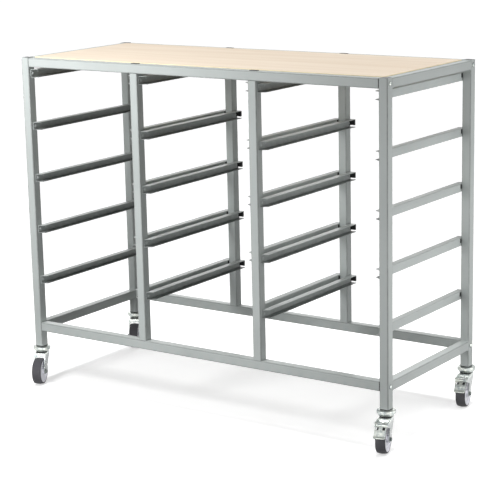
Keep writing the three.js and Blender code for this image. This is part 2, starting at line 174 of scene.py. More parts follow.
class TrayUnitStage(bpy.types.PropertyGroup):
    """Camera and lights."""

    eye: FloatVectorProperty(
        name="Eye", description="Camera position", default=(2.53143, -3.61720, 1.40956), subtype="TRANSLATION"
    )
    yaw: FloatProperty(name="Yaw", description="Camera turn from +Y to the left", default=0.6051, subtype="ANGLE")
    pitch: FloatProperty(name="Pitch", description="Camera tilt downwards", default=0.2221, subtype="ANGLE")
    roll: FloatProperty(name="Roll", description="Camera roll", default=0.0209, subtype="ANGLE")
    lens: FloatProperty(name="Lens", description="Focal length on a 36 mm sensor", default=118.947, unit="CAMERA")
    key: FloatProperty(name="Key", description="Power of the light at the upper front left", default=14.6, unit="POWER")
    front: FloatProperty(name="Front", description="Power of the front light", default=5.8, unit="POWER")
    low: FloatProperty(name="Low", description="Power of the low strip in front", default=5.0, unit="POWER")
    side: FloatProperty(name="Side", description="Power of the light at the upper right", default=3.5, unit="POWER")
    low_side: FloatProperty(name="Low side", description="Power of the low light at the right", default=1.95, unit="POWER")
    back: FloatProperty(name="Back", description="Power of the light close behind the unit", default=3.7, unit="POWER")
    wheel: FloatProperty(name="Wheel", description="Power of the spot on the front left castor", default=4.6, unit="POWER")
    top: FloatProperty(name="Top", description="Strength of the overhead light", default=2.05)
    rear: FloatProperty(name="Rear", description="Strength of the low light from behind", default=1.2)
    left: FloatProperty(name="Left", description="Strength of the low light from the left", default=1.3)
    sky: FloatProperty(name="Sky", description="Light level of the surroundings", default=0.01)


# Surfaces: an array of points, a list of face arrays, and how much painted shade each point gets, 0 to 1.


def grid_quads(rows, cols, close_rows, close_cols):
    """Quads of a grid of points, joined round where a direction is closed."""
    r, c = np.meshgrid(
        np.arange(rows if close_rows else rows - 1), np.arange(cols if close_cols else cols - 1), indexing="ij"
    )
    r1, c1 = (r + 1) % rows, (c + 1) % cols
    return np.stack([r * cols + c, r1 * cols + c, r1 * cols + c1, r * cols + c1], -1).reshape(-1, 4)


def outward(points, faces, edge):
    """The same closed surface with its faces turned outwards, by the sign of its volume."""
    middle = points.mean(0)
    p = points - middle
    fans = [f[:, [0, k, k + 1]] for f in faces for k in range(1, f.shape[1] - 1)]
    t = p[np.concatenate(fans)]
    volume = np.einsum("ij,ij->i", t[:, 0], np.cross(t[:, 1], t[:, 2])).sum()
    return points, [f[:, ::-1] if volume < 0 else f for f in faces], edge


def grid_surface(points, edge, close_rows=False, close_cols=True, caps=True):
    """A closed surface over a grid of points; open ends are closed by a fan round the mean of the end row."""
    rows, cols = points.shape[:2]
    flat = points.reshape(-1, 3)
    faces = [grid_quads(rows, cols, close_rows, close_cols)]
    edge = edge.reshape(-1)
    if caps and not close_rows:
        ring = np.arange(cols)
        after = np.roll(ring, -1)
        start = np.full(cols, rows * cols)
        last = (rows - 1) * cols
        faces.append(np.stack([ring, after, start], -1))
        faces.append(np.stack([last + after, last + ring, start + 1], -1))
        flat = np.concatenate([flat, points[[0, -1]].mean(1)])
        edge = np.concatenate([edge, [0.0, 0.0]])
    return outward(flat, faces, edge)


def rounded_profile(height, edge, steps=4):
    """Inset and height of a block's side: a quarter round at each end and straight between them."""
    turn = np.linspace(0, np.pi / 2, steps)
    low = np.stack([edge * (1 - np.sin(turn)), edge * (1 - np.cos(turn))], -1)
    high = low[::-1] * [1, -1] + [0, height]
    side = [[0, edge + LEAD], [0, height - edge - LEAD]]
    return np.concatenate([[[edge + LEAD, 0]], low, side, high, [[edge + LEAD, height]]])


def prism(origin, basis, half_a, half_b, radius, profile, closed=False, steps=6):
    """A rounded rectangle carried along the third axis: at (s, t) its outline(s), drawn in by inset(t), at height(t)."""
    turn = np.arange(4)[:, None] * np.pi / 2 + np.linspace(0, np.pi / 2, steps)
    arc = np.stack([np.cos(turn), np.sin(turn)], -1)
    tangent = np.stack([-np.sin(turn), np.cos(turn)], -1)
    direction = np.concatenate([arc[:, :1], arc, arc[:, -1:]], 1)
    slide = np.zeros_like(direction)
    slide[:, 0], slide[:, -1] = -LEAD * tangent[:, 0], LEAD * tangent[:, -1]
    corner = np.array([[1, 1], [-1, 1], [-1, -1], [1, -1]]) * [half_a - radius, half_b - radius]
    anchor = (corner[:, None] + slide).reshape(-1, 2)
    direction = direction.reshape(-1, 2)
    profile = np.asarray(profile, float)
    flat = anchor + (radius - profile[:, :1, None]) * direction
    height = np.broadcast_to(profile[:, 1:, None], flat.shape[:2] + (1,))
    points = np.asarray(origin) + np.concatenate([flat, height], -1) @ basis
    # the edge mask is 1 on the corner arcs, where the coat finish paints shade
    on_arc = np.ones((4, steps + 2))
    on_arc[:, [0, -1]] = 0
    edge = np.broadcast_to(on_arc.reshape(1, -1), flat.shape[:2]).copy()
    return grid_surface(points, edge, close_rows=closed)


def block(low, high, radius, edge, axis=ALONG_Z):
    """A solid block between two corners, with rounded corners round one axis and rounded ends."""
    low, high = np.asarray(low, float), np.asarray(high, float)
    size = np.abs(basis_sizes(high - low, axis))
    origin = (low + high) / 2 - axis[2] * size[2] / 2
    return prism(origin, axis, size[0] / 2, size[1] / 2, radius, rounded_profile(size[2], edge))


def basis_sizes(size, axis):
    """A box's sizes along the three directions of a basis."""
    return axis @ size


def square_tube(low, high, axis, corner, wall, edge):
    """A square tube between two corners: the rounded outline carried along the axis, out, over the end and back in."""
    low, high = np.asarray(low, float), np.asarray(high, float)
    size = np.abs(basis_sizes(high - low, axis))
    outer = rounded_profile(size[2], edge)[1:-1]
    inner = [[wall, size[2] - edge], [wall, edge]]
    origin = (low + high) / 2 - axis[2] * size[2] / 2
    return prism(origin, axis, size[0] / 2, size[1] / 2, corner, np.concatenate([outer, inner]), closed=True)


def filleted(points, radii, steps=5):
    """A polyline with each corner replaced by an arc of its radius, with a lead point on each side of the arc."""
    points = np.asarray(points, float)
    parts = [points[:1]]
    for before, at, after, radius in zip(points, points[1:], points[2:], radii):
        a, b = before - at, after - at
        reach_a, reach_b = np.linalg.norm(a), np.linalg.norm(b)
        a, b = a / reach_a, b / reach_b
        half = math.acos(np.clip(a @ b, -1, 1)) / 2
        cut = min(radius / math.tan(half), 0.45 * reach_a, 0.45 * reach_b)
        bow = (a + b) / np.linalg.norm(a + b)
        centre = at + bow * cut / math.cos(half)
        start, end = at + a * cut - centre, at + b * cut - centre
        turn = np.linspace(0, 1, steps)[:, None]
        sweep = math.pi - 2 * half
        arc = (np.sin((1 - turn) * sweep) * start + np.sin(turn * sweep) * end) / math.sin(sweep)
        lead = min(LEAD, 0.3 * cut)
        parts.append(np.concatenate([[at + a * (cut + lead)], centre + arc, [at + b * (cut + lead)]]))
    return np.concatenate([*parts, points[-1:]])


def turned(profile, sides, origin=(0, 0, 0), basis=ALONG_Z, closed=False, hexagon=None):
    """A profile of radius and height turned round the third axis; rows marked hexagon follow a hexagon of that corner."""
    profile = np.asarray(profile, float)
    turn = np.arange(sides) * 2 * np.pi / sides
    flats = math.cos(math.pi / 6) / np.cos(turn % (math.pi / 3) - math.pi / 6)
    six = np.zeros(len(profile)) if hexagon is None else np.asarray(hexagon, float)
    radius = profile[:, :1] * (1 + six[:, None] * (flats - 1))
    height = np.broadcast_to(profile[:, 1:], radius.shape)
    points = np.stack([radius * np.cos(turn), radius * np.sin(turn), height], -1)
    return grid_surface(np.asarray(origin) + points @ basis, np.zeros(radius.shape), close_rows=closed)


def sheet_metal(points, thickness, keep=None):
    """A sheet round a middle surface: each point is moved half the thickness both ways along the surface's normal.

    keep says which quads of the grid are there, so windows can be left out.
    """
    rows, cols = points.shape[:2]
    across = np.gradient(points, axis=0)
    along = np.gradient(points, axis=1)
    normal = np.cross(across, along)
    normal /= np.maximum(np.linalg.norm(normal, axis=-1, keepdims=True), 1e-12)
    half = normal * thickness / 2
    flat = np.concatenate([(points + half).reshape(-1, 3), (points - half).reshape(-1, 3)])
    quads = grid_quads(rows, cols, False, False)
    if keep is not None:
        quads = quads[keep.reshape(-1)]
    count = rows * cols
    start, end = quads.reshape(-1), np.roll(quads, -1, axis=1).reshape(-1)
    rim = ~np.isin(start * count + end, end * count + start)
    start, end = start[rim], end[rim]
    sides = np.stack([end, start, start + count, end + count], -1)
    used, index = np.unique(np.concatenate([quads, quads + count, sides]), return_inverse=True)
    faces = index.reshape(-1, 4)
    split = len(quads)
    faces = [faces[:split], faces[split : 2 * split][:, ::-1], faces[2 * split :]]
    return outward(flat[used], faces, np.zeros(len(used)))


def patch(top, bottom, front, back):
    """A surface inside four edge curves: both ruled surfaces added, less the one through the corners."""
    u = np.linspace(0, 1, len(top))[None, :, None]
    w = np.linspace(0, 1, len(front))[:, None, None]
    ruled = (1 - w) * top[None] + w * bottom[None] + (1 - u) * front[:, None] + u * back[:, None]
    corners = (1 - w) * ((1 - u) * top[0] + u * top[-1]) + w * ((1 - u) * bottom[0] + u * bottom[-1])
    return ruled - corners


def even(points, count):
    """A polyline taken up again in points of equal spacing."""
    points = np.asarray(points, float)
    steps = np.linalg.norm(np.diff(points, axis=0), axis=1)
    run = np.concatenate([[0], np.cumsum(steps)])
    at = np.linspace(0, run[-1], count)
    return np.stack([np.interp(at, run, points[:, k]) for k in range(points.shape[1])], -1)


def arc(centre, radius, start, end, count):
    """Points on a circle between two angles in degrees."""
    turn = np.radians(np.linspace(start, end, count))
    return np.asarray(centre) + radius * np.stack([np.cos(turn), np.sin(turn)], -1)


def moved(surface, castor):
    """A castor's surface from its own frame, axle along X and swivel axis at the origin, to its place on the unit."""
    points, faces, edge = surface
    axle = np.array(JOINTS[f"{castor}_wheel_spin"]["axis"], float)
    pin = np.array([*JOINTS[f"{castor}_swivel"]["pos_m"][:2], 0.0])
    basis = np.array([axle, [-axle[1], axle[0], 0], [0, 0, 1]])
    return pin + points @ basis, faces, edge


def put(name, surfaces, material, body, replaces=(), bevel=0.0):
    """Makes one piece of several closed surfaces, gives it its finish and joins it to its body."""
    sizes = np.cumsum([0, *(len(s[0]) for s in surfaces)])
    points = np.concatenate([s[0] for s in surfaces])
    faces = [f for s, start in zip(surfaces, sizes) for group in s[1] for f in (group + start).tolist()]
    mesh = bpy.data.meshes.new(name)
    mesh.from_pydata(points.tolist(), [], faces)
    edge = mesh.attributes.new("edge", "FLOAT", "POINT")
    edge.data.foreach_set("value", np.concatenate([s[2] for s in surfaces]).astype(np.float32))
    mesh.polygons.foreach_set("use_smooth", np.ones(len(mesh.polygons), bool))
    mesh.set_sharp_from_angle(angle=SMOOTH_ANGLE)
    mesh.materials.append(material)
    mesh.validate()
    piece = bpy.data.objects.new(name, mesh)
    bpy.context.scene.collection.objects.link(piece)
    if bevel:
        rounding = piece.modifiers.new("rounded_edges", "BEVEL")
        rounding.width = bevel
        rounding.segments = 2
        rounding.limit_method = "ANGLE"
        rounding.angle_limit = math.radians(50)
        rounding.harden_normals = True
    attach(piece, body)
    if replaces:
        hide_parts(*replaces)
    return piece


# Finishes


def node(tree, kind, links=None, **settings):
    """A node with its settings, and its inputs set to values or joined to other nodes' outputs."""
    made = tree.nodes.new(kind)
    for key, value in settings.items():
        setattr(made, key, value)
    for key, value in (links or {}).items():
        socket = made.inputs[key]
        if isinstance(value, bpy.types.NodeSocket):
            tree.links.new(value, socket)
        else:
            socket.default_value = value
    return made


def maths(tree, operation, *values, clamp=False):
    """The result of one sum on values or other nodes' outputs."""
    made = node(tree, "ShaderNodeMath", dict(enumerate(values)), operation=operation, use_clamp=clamp)
    return made.outputs[0]


def blended(tree, share_of, first, second):
    """A colour between two colours or other nodes' colours."""
    return node(tree, "ShaderNodeMix", {0: share_of, 6: first, 7: second}, data_type="RGBA").outputs[2]


def spread(tree, value, low, high, to_low=0.0, to_high=1.0):
    """A value taken from one range to another."""
    links = {0: value, 1: low, 2: high, 3: to_low, 4: to_high}
    return node(tree, "ShaderNodeMapRange", links).outputs[0]


def noise(tree, vector, scale, detail=2.0, rough=0.5, stretch=None):
    """Noise over a vector, which may be stretched first."""
    if stretch is not None:
        vector = node(tree, "ShaderNodeMapping", {0: vector, 3: stretch}).outputs[0]
    links = {"Vector": vector, "Scale": scale, "Detail": detail, "Roughness": rough}
    return node(tree, "ShaderNodeTexNoise", links).outputs["Fac"]


def effect(name, inputs, outputs, build):
    """A node group with named sockets, made once; build gets the tree and the inputs and returns the outputs."""
    tree = bpy.data.node_groups.get(name)
    if tree:
        return tree
    tree = bpy.data.node_groups.new(name, "ShaderNodeTree")
    for label, kind in inputs:
        tree.interface.new_socket(label, in_out="INPUT", socket_type=kind)
    for label, kind in outputs:
        tree.interface.new_socket(label, in_out="OUTPUT", socket_type=kind)
    given = tree.nodes.new("NodeGroupInput")
    result = tree.nodes.new("NodeGroupOutput")
    for socket, value in zip(result.inputs, build(tree, *given.outputs[:-1])):
        tree.links.new(value, socket)
    return tree


VECTOR, FLOAT, COLOUR = "NodeSocketVector", "NodeSocketFloat", "NodeSocketColor"


def fine_grain():
    """Slow drift of tone and the small unevenness of a sprayed or moulded surface."""

    def build(tree, vector, scale, drift_scale):
        fine = noise(tree, vector, scale, 3.0, 0.55)
        drift = noise(tree, vector, drift_scale, 2.0, 0.5)
        return drift, fine

    inputs = [("Vector", VECTOR), ("Grain Scale", FLOAT), ("Drift Scale", FLOAT)]
    return effect("fine_grain", inputs, [("Drift", FLOAT), ("Height", FLOAT)], build)


def painted_shade_mask():
    """Painted shade on corners and inside channels: the piece's edge attribute, a little uneven."""

    def build(tree, vector, edge, amount):
        patches = spread(tree, noise(tree, vector, 60.0, 4.0, 0.6), 0.35, 0.65, 0.65, 1.0)
        mask = maths(tree, "MULTIPLY", maths(tree, "MULTIPLY", edge, patches), amount, clamp=True)
        return (mask,)

    inputs = [("Vector", VECTOR), ("Edge", FLOAT), ("Amount", FLOAT)]
    return effect("painted_shade_mask", inputs, [("Mask", FLOAT)], build)


def wood_fibres():
    """Birch figure along X: broad bands, fine fibres and short pores."""

    def build(tree, vector):
        warp = noise(tree, vector, 1.0, 3.0, 0.5, (1.1, 5.0, 5.0))
        bands = noise(tree, vector, 1.0, 3.0, 0.55, (1.6, 34.0, 34.0))
        fibres = noise(tree, vector, 1.0, 4.0, 0.65, (9.0, 420.0, 420.0))
        pores = spread(tree, noise(tree, vector, 1.0, 2.0, 0.5, (70.0, 900.0, 900.0)), 0.66, 0.78)
        tone = maths(tree, "ADD", maths(tree, "MULTIPLY", bands, 0.5), maths(tree, "MULTIPLY", fibres, 0.32))
        tone = maths(tree, "ADD", tone, maths(tree, "MULTIPLY", warp, 0.35))
        return spread(tree, tone, 0.38, 0.80), pores, fibres

    outputs = [("Tone", FLOAT), ("Pores", FLOAT), ("Height", FLOAT)]
    return effect("wood_fibres", [("Vector", VECTOR)], outputs, build)


def plating():
    """Cloudy brightness, broken by smaller blotches, and the fine spangle of zinc plate."""

    def build(tree, vector):
        cloud = noise(tree, vector, 70.0, 4.0, 0.6)
        blotch = noise(tree, vector, 190.0, 3.0, 0.55)
        spangle = noise(tree, vector, 700.0, 2.0, 0.5)
        mixed = maths(tree, "ADD", maths(tree, "MULTIPLY", cloud, 0.6), maths(tree, "MULTIPLY", blotch, 0.4))
        return mixed, spangle

    return effect("plating", [("Vector", VECTOR)], [("Cloud", FLOAT), ("Spangle", FLOAT)], build)


def material_base(name):
    """A new material, its tree, its Principled shader and its Object coordinates."""
    material = bpy.data.materials.new(name)
    material.use_nodes = True
    tree = material.node_tree
    return material, tree, tree.nodes["Principled BSDF"], tree.nodes.new("ShaderNodeTexCoord").outputs["Object"]


def bump(tree, shader, height, strength, distance):
    """Gives the shader a bump from a height."""
    made = node(tree, "ShaderNodeBump", {"Height": height, "Strength": strength, "Distance": distance})
    tree.links.new(made.outputs[0], shader.inputs["Normal"])


def shaded(rgb, factor):
    """A colour made lighter or darker by a factor."""
    return tuple(min(1.0, c * factor) for c in rgb) + (1.0,)


def coat_finish(name, rgb, roughness, grain, height, painted_shade=0.0, drift=0.05, gloss=0.45, under=0.45):
    """A sprayed or moulded finish: drifting tone, fine unevenness and, where asked, painted shade from the edge
    attribute.
    """
    material, tree, shader, place = material_base(name)
    texture = node(tree, "ShaderNodeGroup", {}, node_tree=fine_grain())
    tree.links.new(place, texture.inputs["Vector"])
    texture.inputs["Grain Scale"].default_value = grain
    texture.inputs["Drift Scale"].default_value = 7.0
    tone = spread(tree, texture.outputs["Drift"], 0.3, 0.7)
    mixed = blended(tree, tone, shaded(rgb, 1 - drift), shaded(rgb, 1 + drift))
    speck = spread(tree, texture.outputs["Height"], 0.35, 0.68)
    mixed = blended(tree, maths(tree, "MULTIPLY", speck, 0.22), mixed, shaded(rgb, 1.22))
    rough = spread(tree, texture.outputs["Drift"], 0.3, 0.7, roughness - 0.05, roughness + 0.06)
    # painted shade: where the mask says, the colour goes to a darker copy of itself (under) and gets a little rougher
    if painted_shade:
        edge = node(tree, "ShaderNodeAttribute", attribute_name="edge").outputs["Fac"]
        drawn = node(tree, "ShaderNodeGroup", {}, node_tree=painted_shade_mask())
        tree.links.new(place, drawn.inputs["Vector"])
        tree.links.new(edge, drawn.inputs["Edge"])
        drawn.inputs["Amount"].default_value = painted_shade
        mixed = blended(tree, drawn.outputs["Mask"], mixed, shaded(rgb, under))
        rough = maths(tree, "ADD", rough, maths(tree, "MULTIPLY", drawn.outputs["Mask"], 0.1), clamp=True)
    tree.links.new(mixed, shader.inputs["Base Color"])
    tree.links.new(rough, shader.inputs["Roughness"])
    shader.inputs["Specular IOR Level"].default_value = gloss
    bump(tree, shader, texture.outputs["Height"], 0.35, height)
    return material


def zinc_finish(name, rgb, roughness, leg_shade=0.0):
    """Zinc plate: blotched from a dark cool cast to a pale straw one, finely spangled and, where asked, darkened by
    painted shade.
    """
    material, tree, shader, place = material_base(name)
    texture = node(tree, "ShaderNodeGroup", {}, node_tree=plating())
    tree.links.new(place, texture.inputs["Vector"])
    cloud = spread(tree, texture.outputs["Cloud"], 0.36, 0.64)
    cool = (rgb[0] * 0.52, rgb[1] * 0.57, rgb[2] * 0.60, 1.0)
    warm = (min(1, rgb[0] * 1.42), min(1, rgb[1] * 1.40), min(1, rgb[2] * 1.30), 1.0)
    mixed = blended(tree, cloud, cool, warm)
    # painted shade: the edge mask takes the zinc towards a darker copy of itself
    if leg_shade:
        edge = node(tree, "ShaderNodeAttribute", attribute_name="edge").outputs["Fac"]
        mixed = blended(tree, maths(tree, "MULTIPLY", edge, leg_shade), mixed, shaded(rgb, 0.45))
    tree.links.new(mixed, shader.inputs["Base Color"])
    rough = spread(tree, texture.outputs["Cloud"], 0.36, 0.64, roughness + 0.1, roughness - 0.08)
    tree.links.new(rough, shader.inputs["Roughness"])
    shader.inputs["Metallic"].default_value = 0.9
    bump(tree, shader, texture.outputs["Spangle"], 0.15, 0.05 * MM)
    return material


def wood_finish(name, rgb, dark):
    """Birch-look laminate with fibres along X, short pores and a satin film."""
    material, tree, shader, place = material_base(name)
    texture = node(tree, "ShaderNodeGroup", {}, node_tree=wood_fibres())
    tree.links.new(place, texture.inputs["Vector"])
    mixed = blended(tree, texture.outputs["Tone"], shaded(dark, 1.0), shaded(rgb, 1.0))
    mixed = blended(tree, maths(tree, "MULTIPLY", texture.outputs["Pores"], 0.4), mixed, shaded(dark, 0.72))
    tree.links.new(mixed, shader.inputs["Base Color"])
    rough = spread(tree, texture.outputs["Tone"], 0.0, 1.0, 0.52, 0.44)
    tree.links.new(rough, shader.inputs["Roughness"])
    bump(tree, shader, texture.outputs["Height"], 0.2, 0.06 * MM)
    return material


FINISHES = {}


def finish(name):
    """A finish of this unit, made when it is first asked for."""
    if name not in FINISHES:
        c = bpy.context.scene.tray_unit_finish
        makers = {
            # frame coat: painted shade along the tubes' corners
            "frame_coat": lambda: coat_finish(name, c.coat, 0.33, 900.0, 0.06 * MM, c.painted_shade, gloss=0.2),
            # runner coat: painted shade inside the channels
            "runner_coat": lambda: coat_finish(
                name, c.coat, 0.33, 900.0, 0.06 * MM, c.channel, gloss=0.2, under=0.3
            ),
            "cap_plastic": lambda: coat_finish(name, c.cap, 0.45, 1200.0, 0.05 * MM),
            "black_plastic": lambda: coat_finish(name, c.black, 0.42, 1100.0, 0.06 * MM),
            "edge_band": lambda: coat_finish(name, c.band, 0.42, 700.0, 0.04 * MM),
            "tyre_rubber": lambda: coat_finish(name, c.rubber, 0.62, 1600.0, 0.12 * MM, drift=0.14),
            "hub_plastic": lambda: coat_finish(name, c.hub, 0.38, 900.0, 0.04 * MM, drift=0.03),
            "zinc_plate": lambda: zinc_finish(name, c.zinc, 0.27),
            # fork zinc: painted shade on the outside of the legs
            "fork_zinc": lambda: zinc_finish(name, c.fork_zinc, 0.27, c.leg_shade),
            "pedal_zinc": lambda: zinc_finish(name, c.pedal_zinc, 0.36),
            "bolt_steel": lambda: zinc_finish(name, c.bolt_steel, 0.34),
            "wood_laminate": lambda: wood_finish(name, c.wood, c.grain),
        }
        FINISHES[name] = makers[name]()
    return FINISHES[name]


# Frame


def frame_sizes():
    """The frame's sizes as the user left them."""
    return bpy.context.scene.tray_unit_frame


def castor_sizes():
    """The castors' sizes as the user left them."""
    return bpy.context.scene.tray_unit_castor


def weld_bead(x, y, half_x, under, over, radius):
    """A rippled weld round a rail's end: a round bead carried round a rounded rectangle in the XZ plane at y."""
    z, half_z = (over + under) / 2, (over - under) / 2
    loop = 120
    s = np.linspace(0, 2 * np.pi, loop, endpoint=False)
    squared = (np.abs(np.cos(s)) ** 10 + np.abs(np.sin(s)) ** 10) ** -0.1
    out = np.stack([np.cos(s) * squared, np.sin(s) * squared], -1)
    ripple = radius * (1 + 0.10 * np.sin(30 * s) + 0.05 * np.sin(7 * s + 1))
    turn = np.linspace(0, 2 * np.pi, 10, endpoint=False)
    reach = ripple[:, None] * np.cos(turn)
    points = np.stack(
        [
            x + out[:, :1] * (half_x + reach),
            y + ripple[:, None] * np.sin(turn),
            z + out[:, 1:] * (half_z + reach),
        ],
        -1,
    )
    return grid_surface(points, np.zeros(points.shape[:2]), close_rows=True)


class TRAYUNIT_OT_end_frames(bpy.types.Operator):
    """Two welded end frames: corner posts, side rails and the weld beads between them"""

    bl_idname = "tray_unit.end_frames"
    bl_label = "End frames"

    def execute(self, context):
        s = frame_sizes()
        rail_boxes = [node_box("bottom_rail_front"), node_box("top_rail_front")]
        for side in SIDES:
            name = f"end_frame_{side}"
            (x0, y0, z0), (x1, y1, z1) = node_box(name)
            top = z1 + 1.0 * MM
            posts = [
                square_tube((x0, y, z0), (x1, y + s.tube, top), ALONG_Z, s.tube_corner, s.wall, 0.5 * MM)
                for y in (y0, y1 - s.tube)
            ]
            rails, welds = [], []
            for low, high in rail_boxes:
                under = (x0, y0 + s.tube, low[2])
                over = (x1, y1 - s.tube, low[2] + s.tube)
                rails.append(square_tube(under, over, ALONG_Y, s.tube_corner, s.wall, 0.05 * MM))
                flush = low[2] + s.tube > top - s.weld
                lower, upper = low[2] + 0.25 * s.weld, low[2] + s.tube - (1.3 if flush else 0.25) * s.weld
                for y in (y0 + s.tube, y1 - s.tube):
                    welds.append(weld_bead((x0 + x1) / 2, y, s.tube / 2 - 0.85 * s.weld, lower, upper, s.weld))
            put(name + "_tube", posts + rails + welds, finish("frame_coat"), "frame", [name])
        return {"FINISHED"}


class TRAYUNIT_OT_rails(bpy.types.Operator):
    """Four long rails with a plastic plug at each end; the top ones carry the panel's tabs"""

    bl_idname = "tray_unit.rails"
    bl_label = "Long rails"

    def execute(self, context):
        s = frame_sizes()
        panel_under = node_box("top_panel")[0, 2]
        plugs = []
        for level in ("top", "bottom"):
            for depth in DEPTHS:
                name = f"{level}_rail_{depth}"
                low, high = node_box(name)
                y0 = low[1] if depth == "front" else high[1] - s.tube
                z0 = high[2] - s.tube
                under = np.array([low[0], y0, z0])
                over = np.array([high[0], y0 + s.tube, high[2]])
                inset = np.array([s.plug, 0, 0])
                surfaces = [
                    square_tube(under + inset, over - inset, ALONG_X, s.tube_corner, s.wall, 0.5 * MM)
                ]
                if level == "top":
                    inner = y0 + s.tube if depth == "front" else y0
                    reach = high[1] if depth == "front" else low[1]
                    bays = [node_box(f"{bay}_runner_left_1")[0, 0] for bay in BAYS]
                    others = [node_box(f"{bay}_runner_right_1")[1, 0] for bay in BAYS]
                    for a, b in zip(bays, others):
                        x = (a + b) / 2
                        back, front = sorted((inner, reach))
                        surfaces.append(
                            block(
                                (x - 15 * MM, back, panel_under - 2 * MM),
                                (x + 15 * MM, front, panel_under - 0.05 * MM),
                                1.5 * MM,
                                0.3 * MM,
                            )
                        )
                put(name + "_tube", surfaces, finish("frame_coat"), "frame", [name])
                gap = 0.35 * MM
                for x in (low[0], high[0] - s.plug):
                    plugs.append(
                        block(
                            (x, y0 + gap, z0 + gap),
                            (x + s.plug, y0 + s.tube - gap, high[2] - gap),
                            2 * MM,
                            0.15 * MM,
                            ALONG_X,
                        )
                    )
        put("rail_plugs", plugs, finish("black_plastic"), "frame")
        return {"FINISHED"}


class TRAYUNIT_OT_middle_posts(bpy.types.Operator):
    """Four posts between the bays"""

    bl_idname = "tray_unit.middle_posts"
    bl_label = "Middle posts"

    def execute(self, context):
        s = frame_sizes()
        for depth in DEPTHS:
            for side in SIDES:
                name = f"middle_post_{depth}_{side}"
                low, high = node_box(name)
                post = square_tube(low, high, ALONG_Z, s.tube_corner, s.wall, 0.3 * MM)
                put(name + "_tube", [post], finish("frame_coat"), "frame", [name])
        return {"FINISHED"}


def runner_sheet(low, high, side, s):
    """A C-section carried from front to back: flange, bend, web, bend, flange, with the flanges cut back in front.

    Across the section, u runs along the middle of the sheet; the flanges' reach grows with y over the lead-in.
    Shade is painted inside the channel, darkest on the lower flange, which lies in the upper flange's shadow.
    """
    half = s.runner_wall / 2
    web = (low[0] if side > 0 else high[0]) + side * half
    z0, z1 = low[2] + half, high[2] - half
    bend = s.runner_bend
    turn = np.linspace(0, np.pi / 2, 5)
    flange = np.linspace(1, 0, 6)
    x_bend = bend * (1 - np.sin(turn))
    z_bend = bend * (1 - np.cos(turn))
    x_fixed = np.concatenate([np.full(6, bend), x_bend[1:], x_bend[::-1], np.full(5, bend)])
    share_out = np.concatenate([flange, np.zeros(4), np.zeros(5), flange[::-1][1:]])
    z = np.concatenate([np.full(6, z0), (z0 + z_bend)[1:], (z1 - z_bend)[::-1], np.full(5, z1)])
    full = (high[0] - low[0]) - half - bend
    y0, y1 = low[1], high[1]
    y = np.concatenate([np.linspace(y0, y0 + s.lead_in, 9), np.linspace(y0 + s.lead_in, y1, 12)[1:]])
    reach = full * np.clip((y - y0) / s.lead_in, 0.02, 1)
    x = web + side * (x_fixed[None] + share_out[None] * reach[:, None])
    points = np.stack([x, np.broadcast_to(y[:, None], x.shape), np.broadcast_to(z[None], x.shape)], -1)
    points, faces, _ = sheet_metal(points, s.runner_wall)
    from_web, rise = side * (points[:, 0] - web), (points[:, 2] - z0 - half) / (z1 - z0 - 2 * half)
    margin = 0.01
    inside = (from_web > 0.9 * half) & (rise > -margin) & (rise < 1 + margin)
    # painted shade inside the channel: full on the lower flange, 0.5 at the foot of the web, 0.2 at its top
    thin = np.interp(rise, [0, 0.06, 1], [1.0, 0.5, 0.2])
    return points, faces, np.where(inside, thin, 0.0)


class TRAYUNIT_OT_runners(bpy.types.Operator):
    """Tray runners: bent C-section channels on both sides of each bay"""

    bl_idname = "tray_unit.runners"
    bl_label = "Tray runners"

    def execute(self, context):
        s = frame_sizes()
        for bay in BAYS:
            for side, way in SIDES.items():
                for level in range(1, LEVELS + 1):
                    name = f"{bay}_runner_{side}_{level}"
                    low, high = node_box(name)
                    channel = runner_sheet(low, high, way, s)
                    put(name + "_channel", [channel], finish("runner_coat"), "frame", [name], 0.3 * MM)
        return {"FINISHED"}


def dome(centre, way, radius, height):
    """A low round head on an X face: a quarter arc turned round X."""
    turn = np.linspace(0, np.pi / 2, 5)[:-1]
    profile = np.stack([radius * np.cos(turn), height * np.sin(turn)], -1)
    profile = np.concatenate([[[radius, -0.2 * MM]], profile])
    basis = ALONG_X * [way, 1, 1]
    return turned(profile, 16, centre, basis)


class TRAYUNIT_OT_runner_fittings(bpy.types.Operator):
    """Plastic tray stops with their clips, fixing screws and tray dimples of the runners"""

    bl_idname = "tray_unit.runner_fittings"
    bl_label = "Runner fittings"

    def execute(self, context):
        s = frame_sizes()
        screws, dimples = [], []
        (_, y_front, _), (_, y_back, _) = node_box("end_frame_left")
        for bay in BAYS:
            for side, way in SIDES.items():
                stops = []
                for level in range(1, LEVELS + 1):
                    low, high = node_box(f"{bay}_runner_{side}_{level}")
                    web = (low[0] if way > 0 else high[0]) + way * s.runner_wall
                    tip = high[0] if way > 0 else low[0]
                    gap = 0.1 * MM
                    xs = sorted((web + way * gap, tip + way * 0.0))
                    stops.append(
                        block(
                            (xs[0], high[1] - s.stop, low[2] + s.runner_wall + s.stop_gap),
                            (xs[1], high[1] - 0.4 * MM, high[2] - s.runner_wall - gap),
                            1.2 * MM,
                            0.5 * MM,
                            ALONG_Y,
                        )
                    )
                    z = (low[2] + high[2]) / 2
                    clip_y = y_back - s.tube - 3.2 * MM
                    back = sorted((web - way * (s.runner_wall + 1.6 * MM), web - way * (s.runner_wall - 0.1 * MM)))
                    stops.append(
                        block(
                            (back[0], clip_y - 2.2 * MM, z - 2 * MM),
                            (back[1], clip_y + 2.2 * MM, high[2] - 1.5 * MM),
                            0.8 * MM,
                            0.3 * MM,
                        )
                    )
                    for y in (y_front + s.tube * 0.66, y_back - s.tube / 2):
                        screws.append(dome((web, y, z), way, s.screw, 1.9 * MM))
                    dimples.append(dome((web, low[1] + 30 * MM, z + 4 * MM), way, 3.4 * MM, 1.2 * MM))
                put(f"{bay}_stops_{side}", stops, finish("black_plastic"), "frame")
        put("runner_screws", screws, finish("frame_coat"), "frame")
        put("runner_dimples", dimples, finish("frame_coat"), "frame")
        return {"FINISHED"}


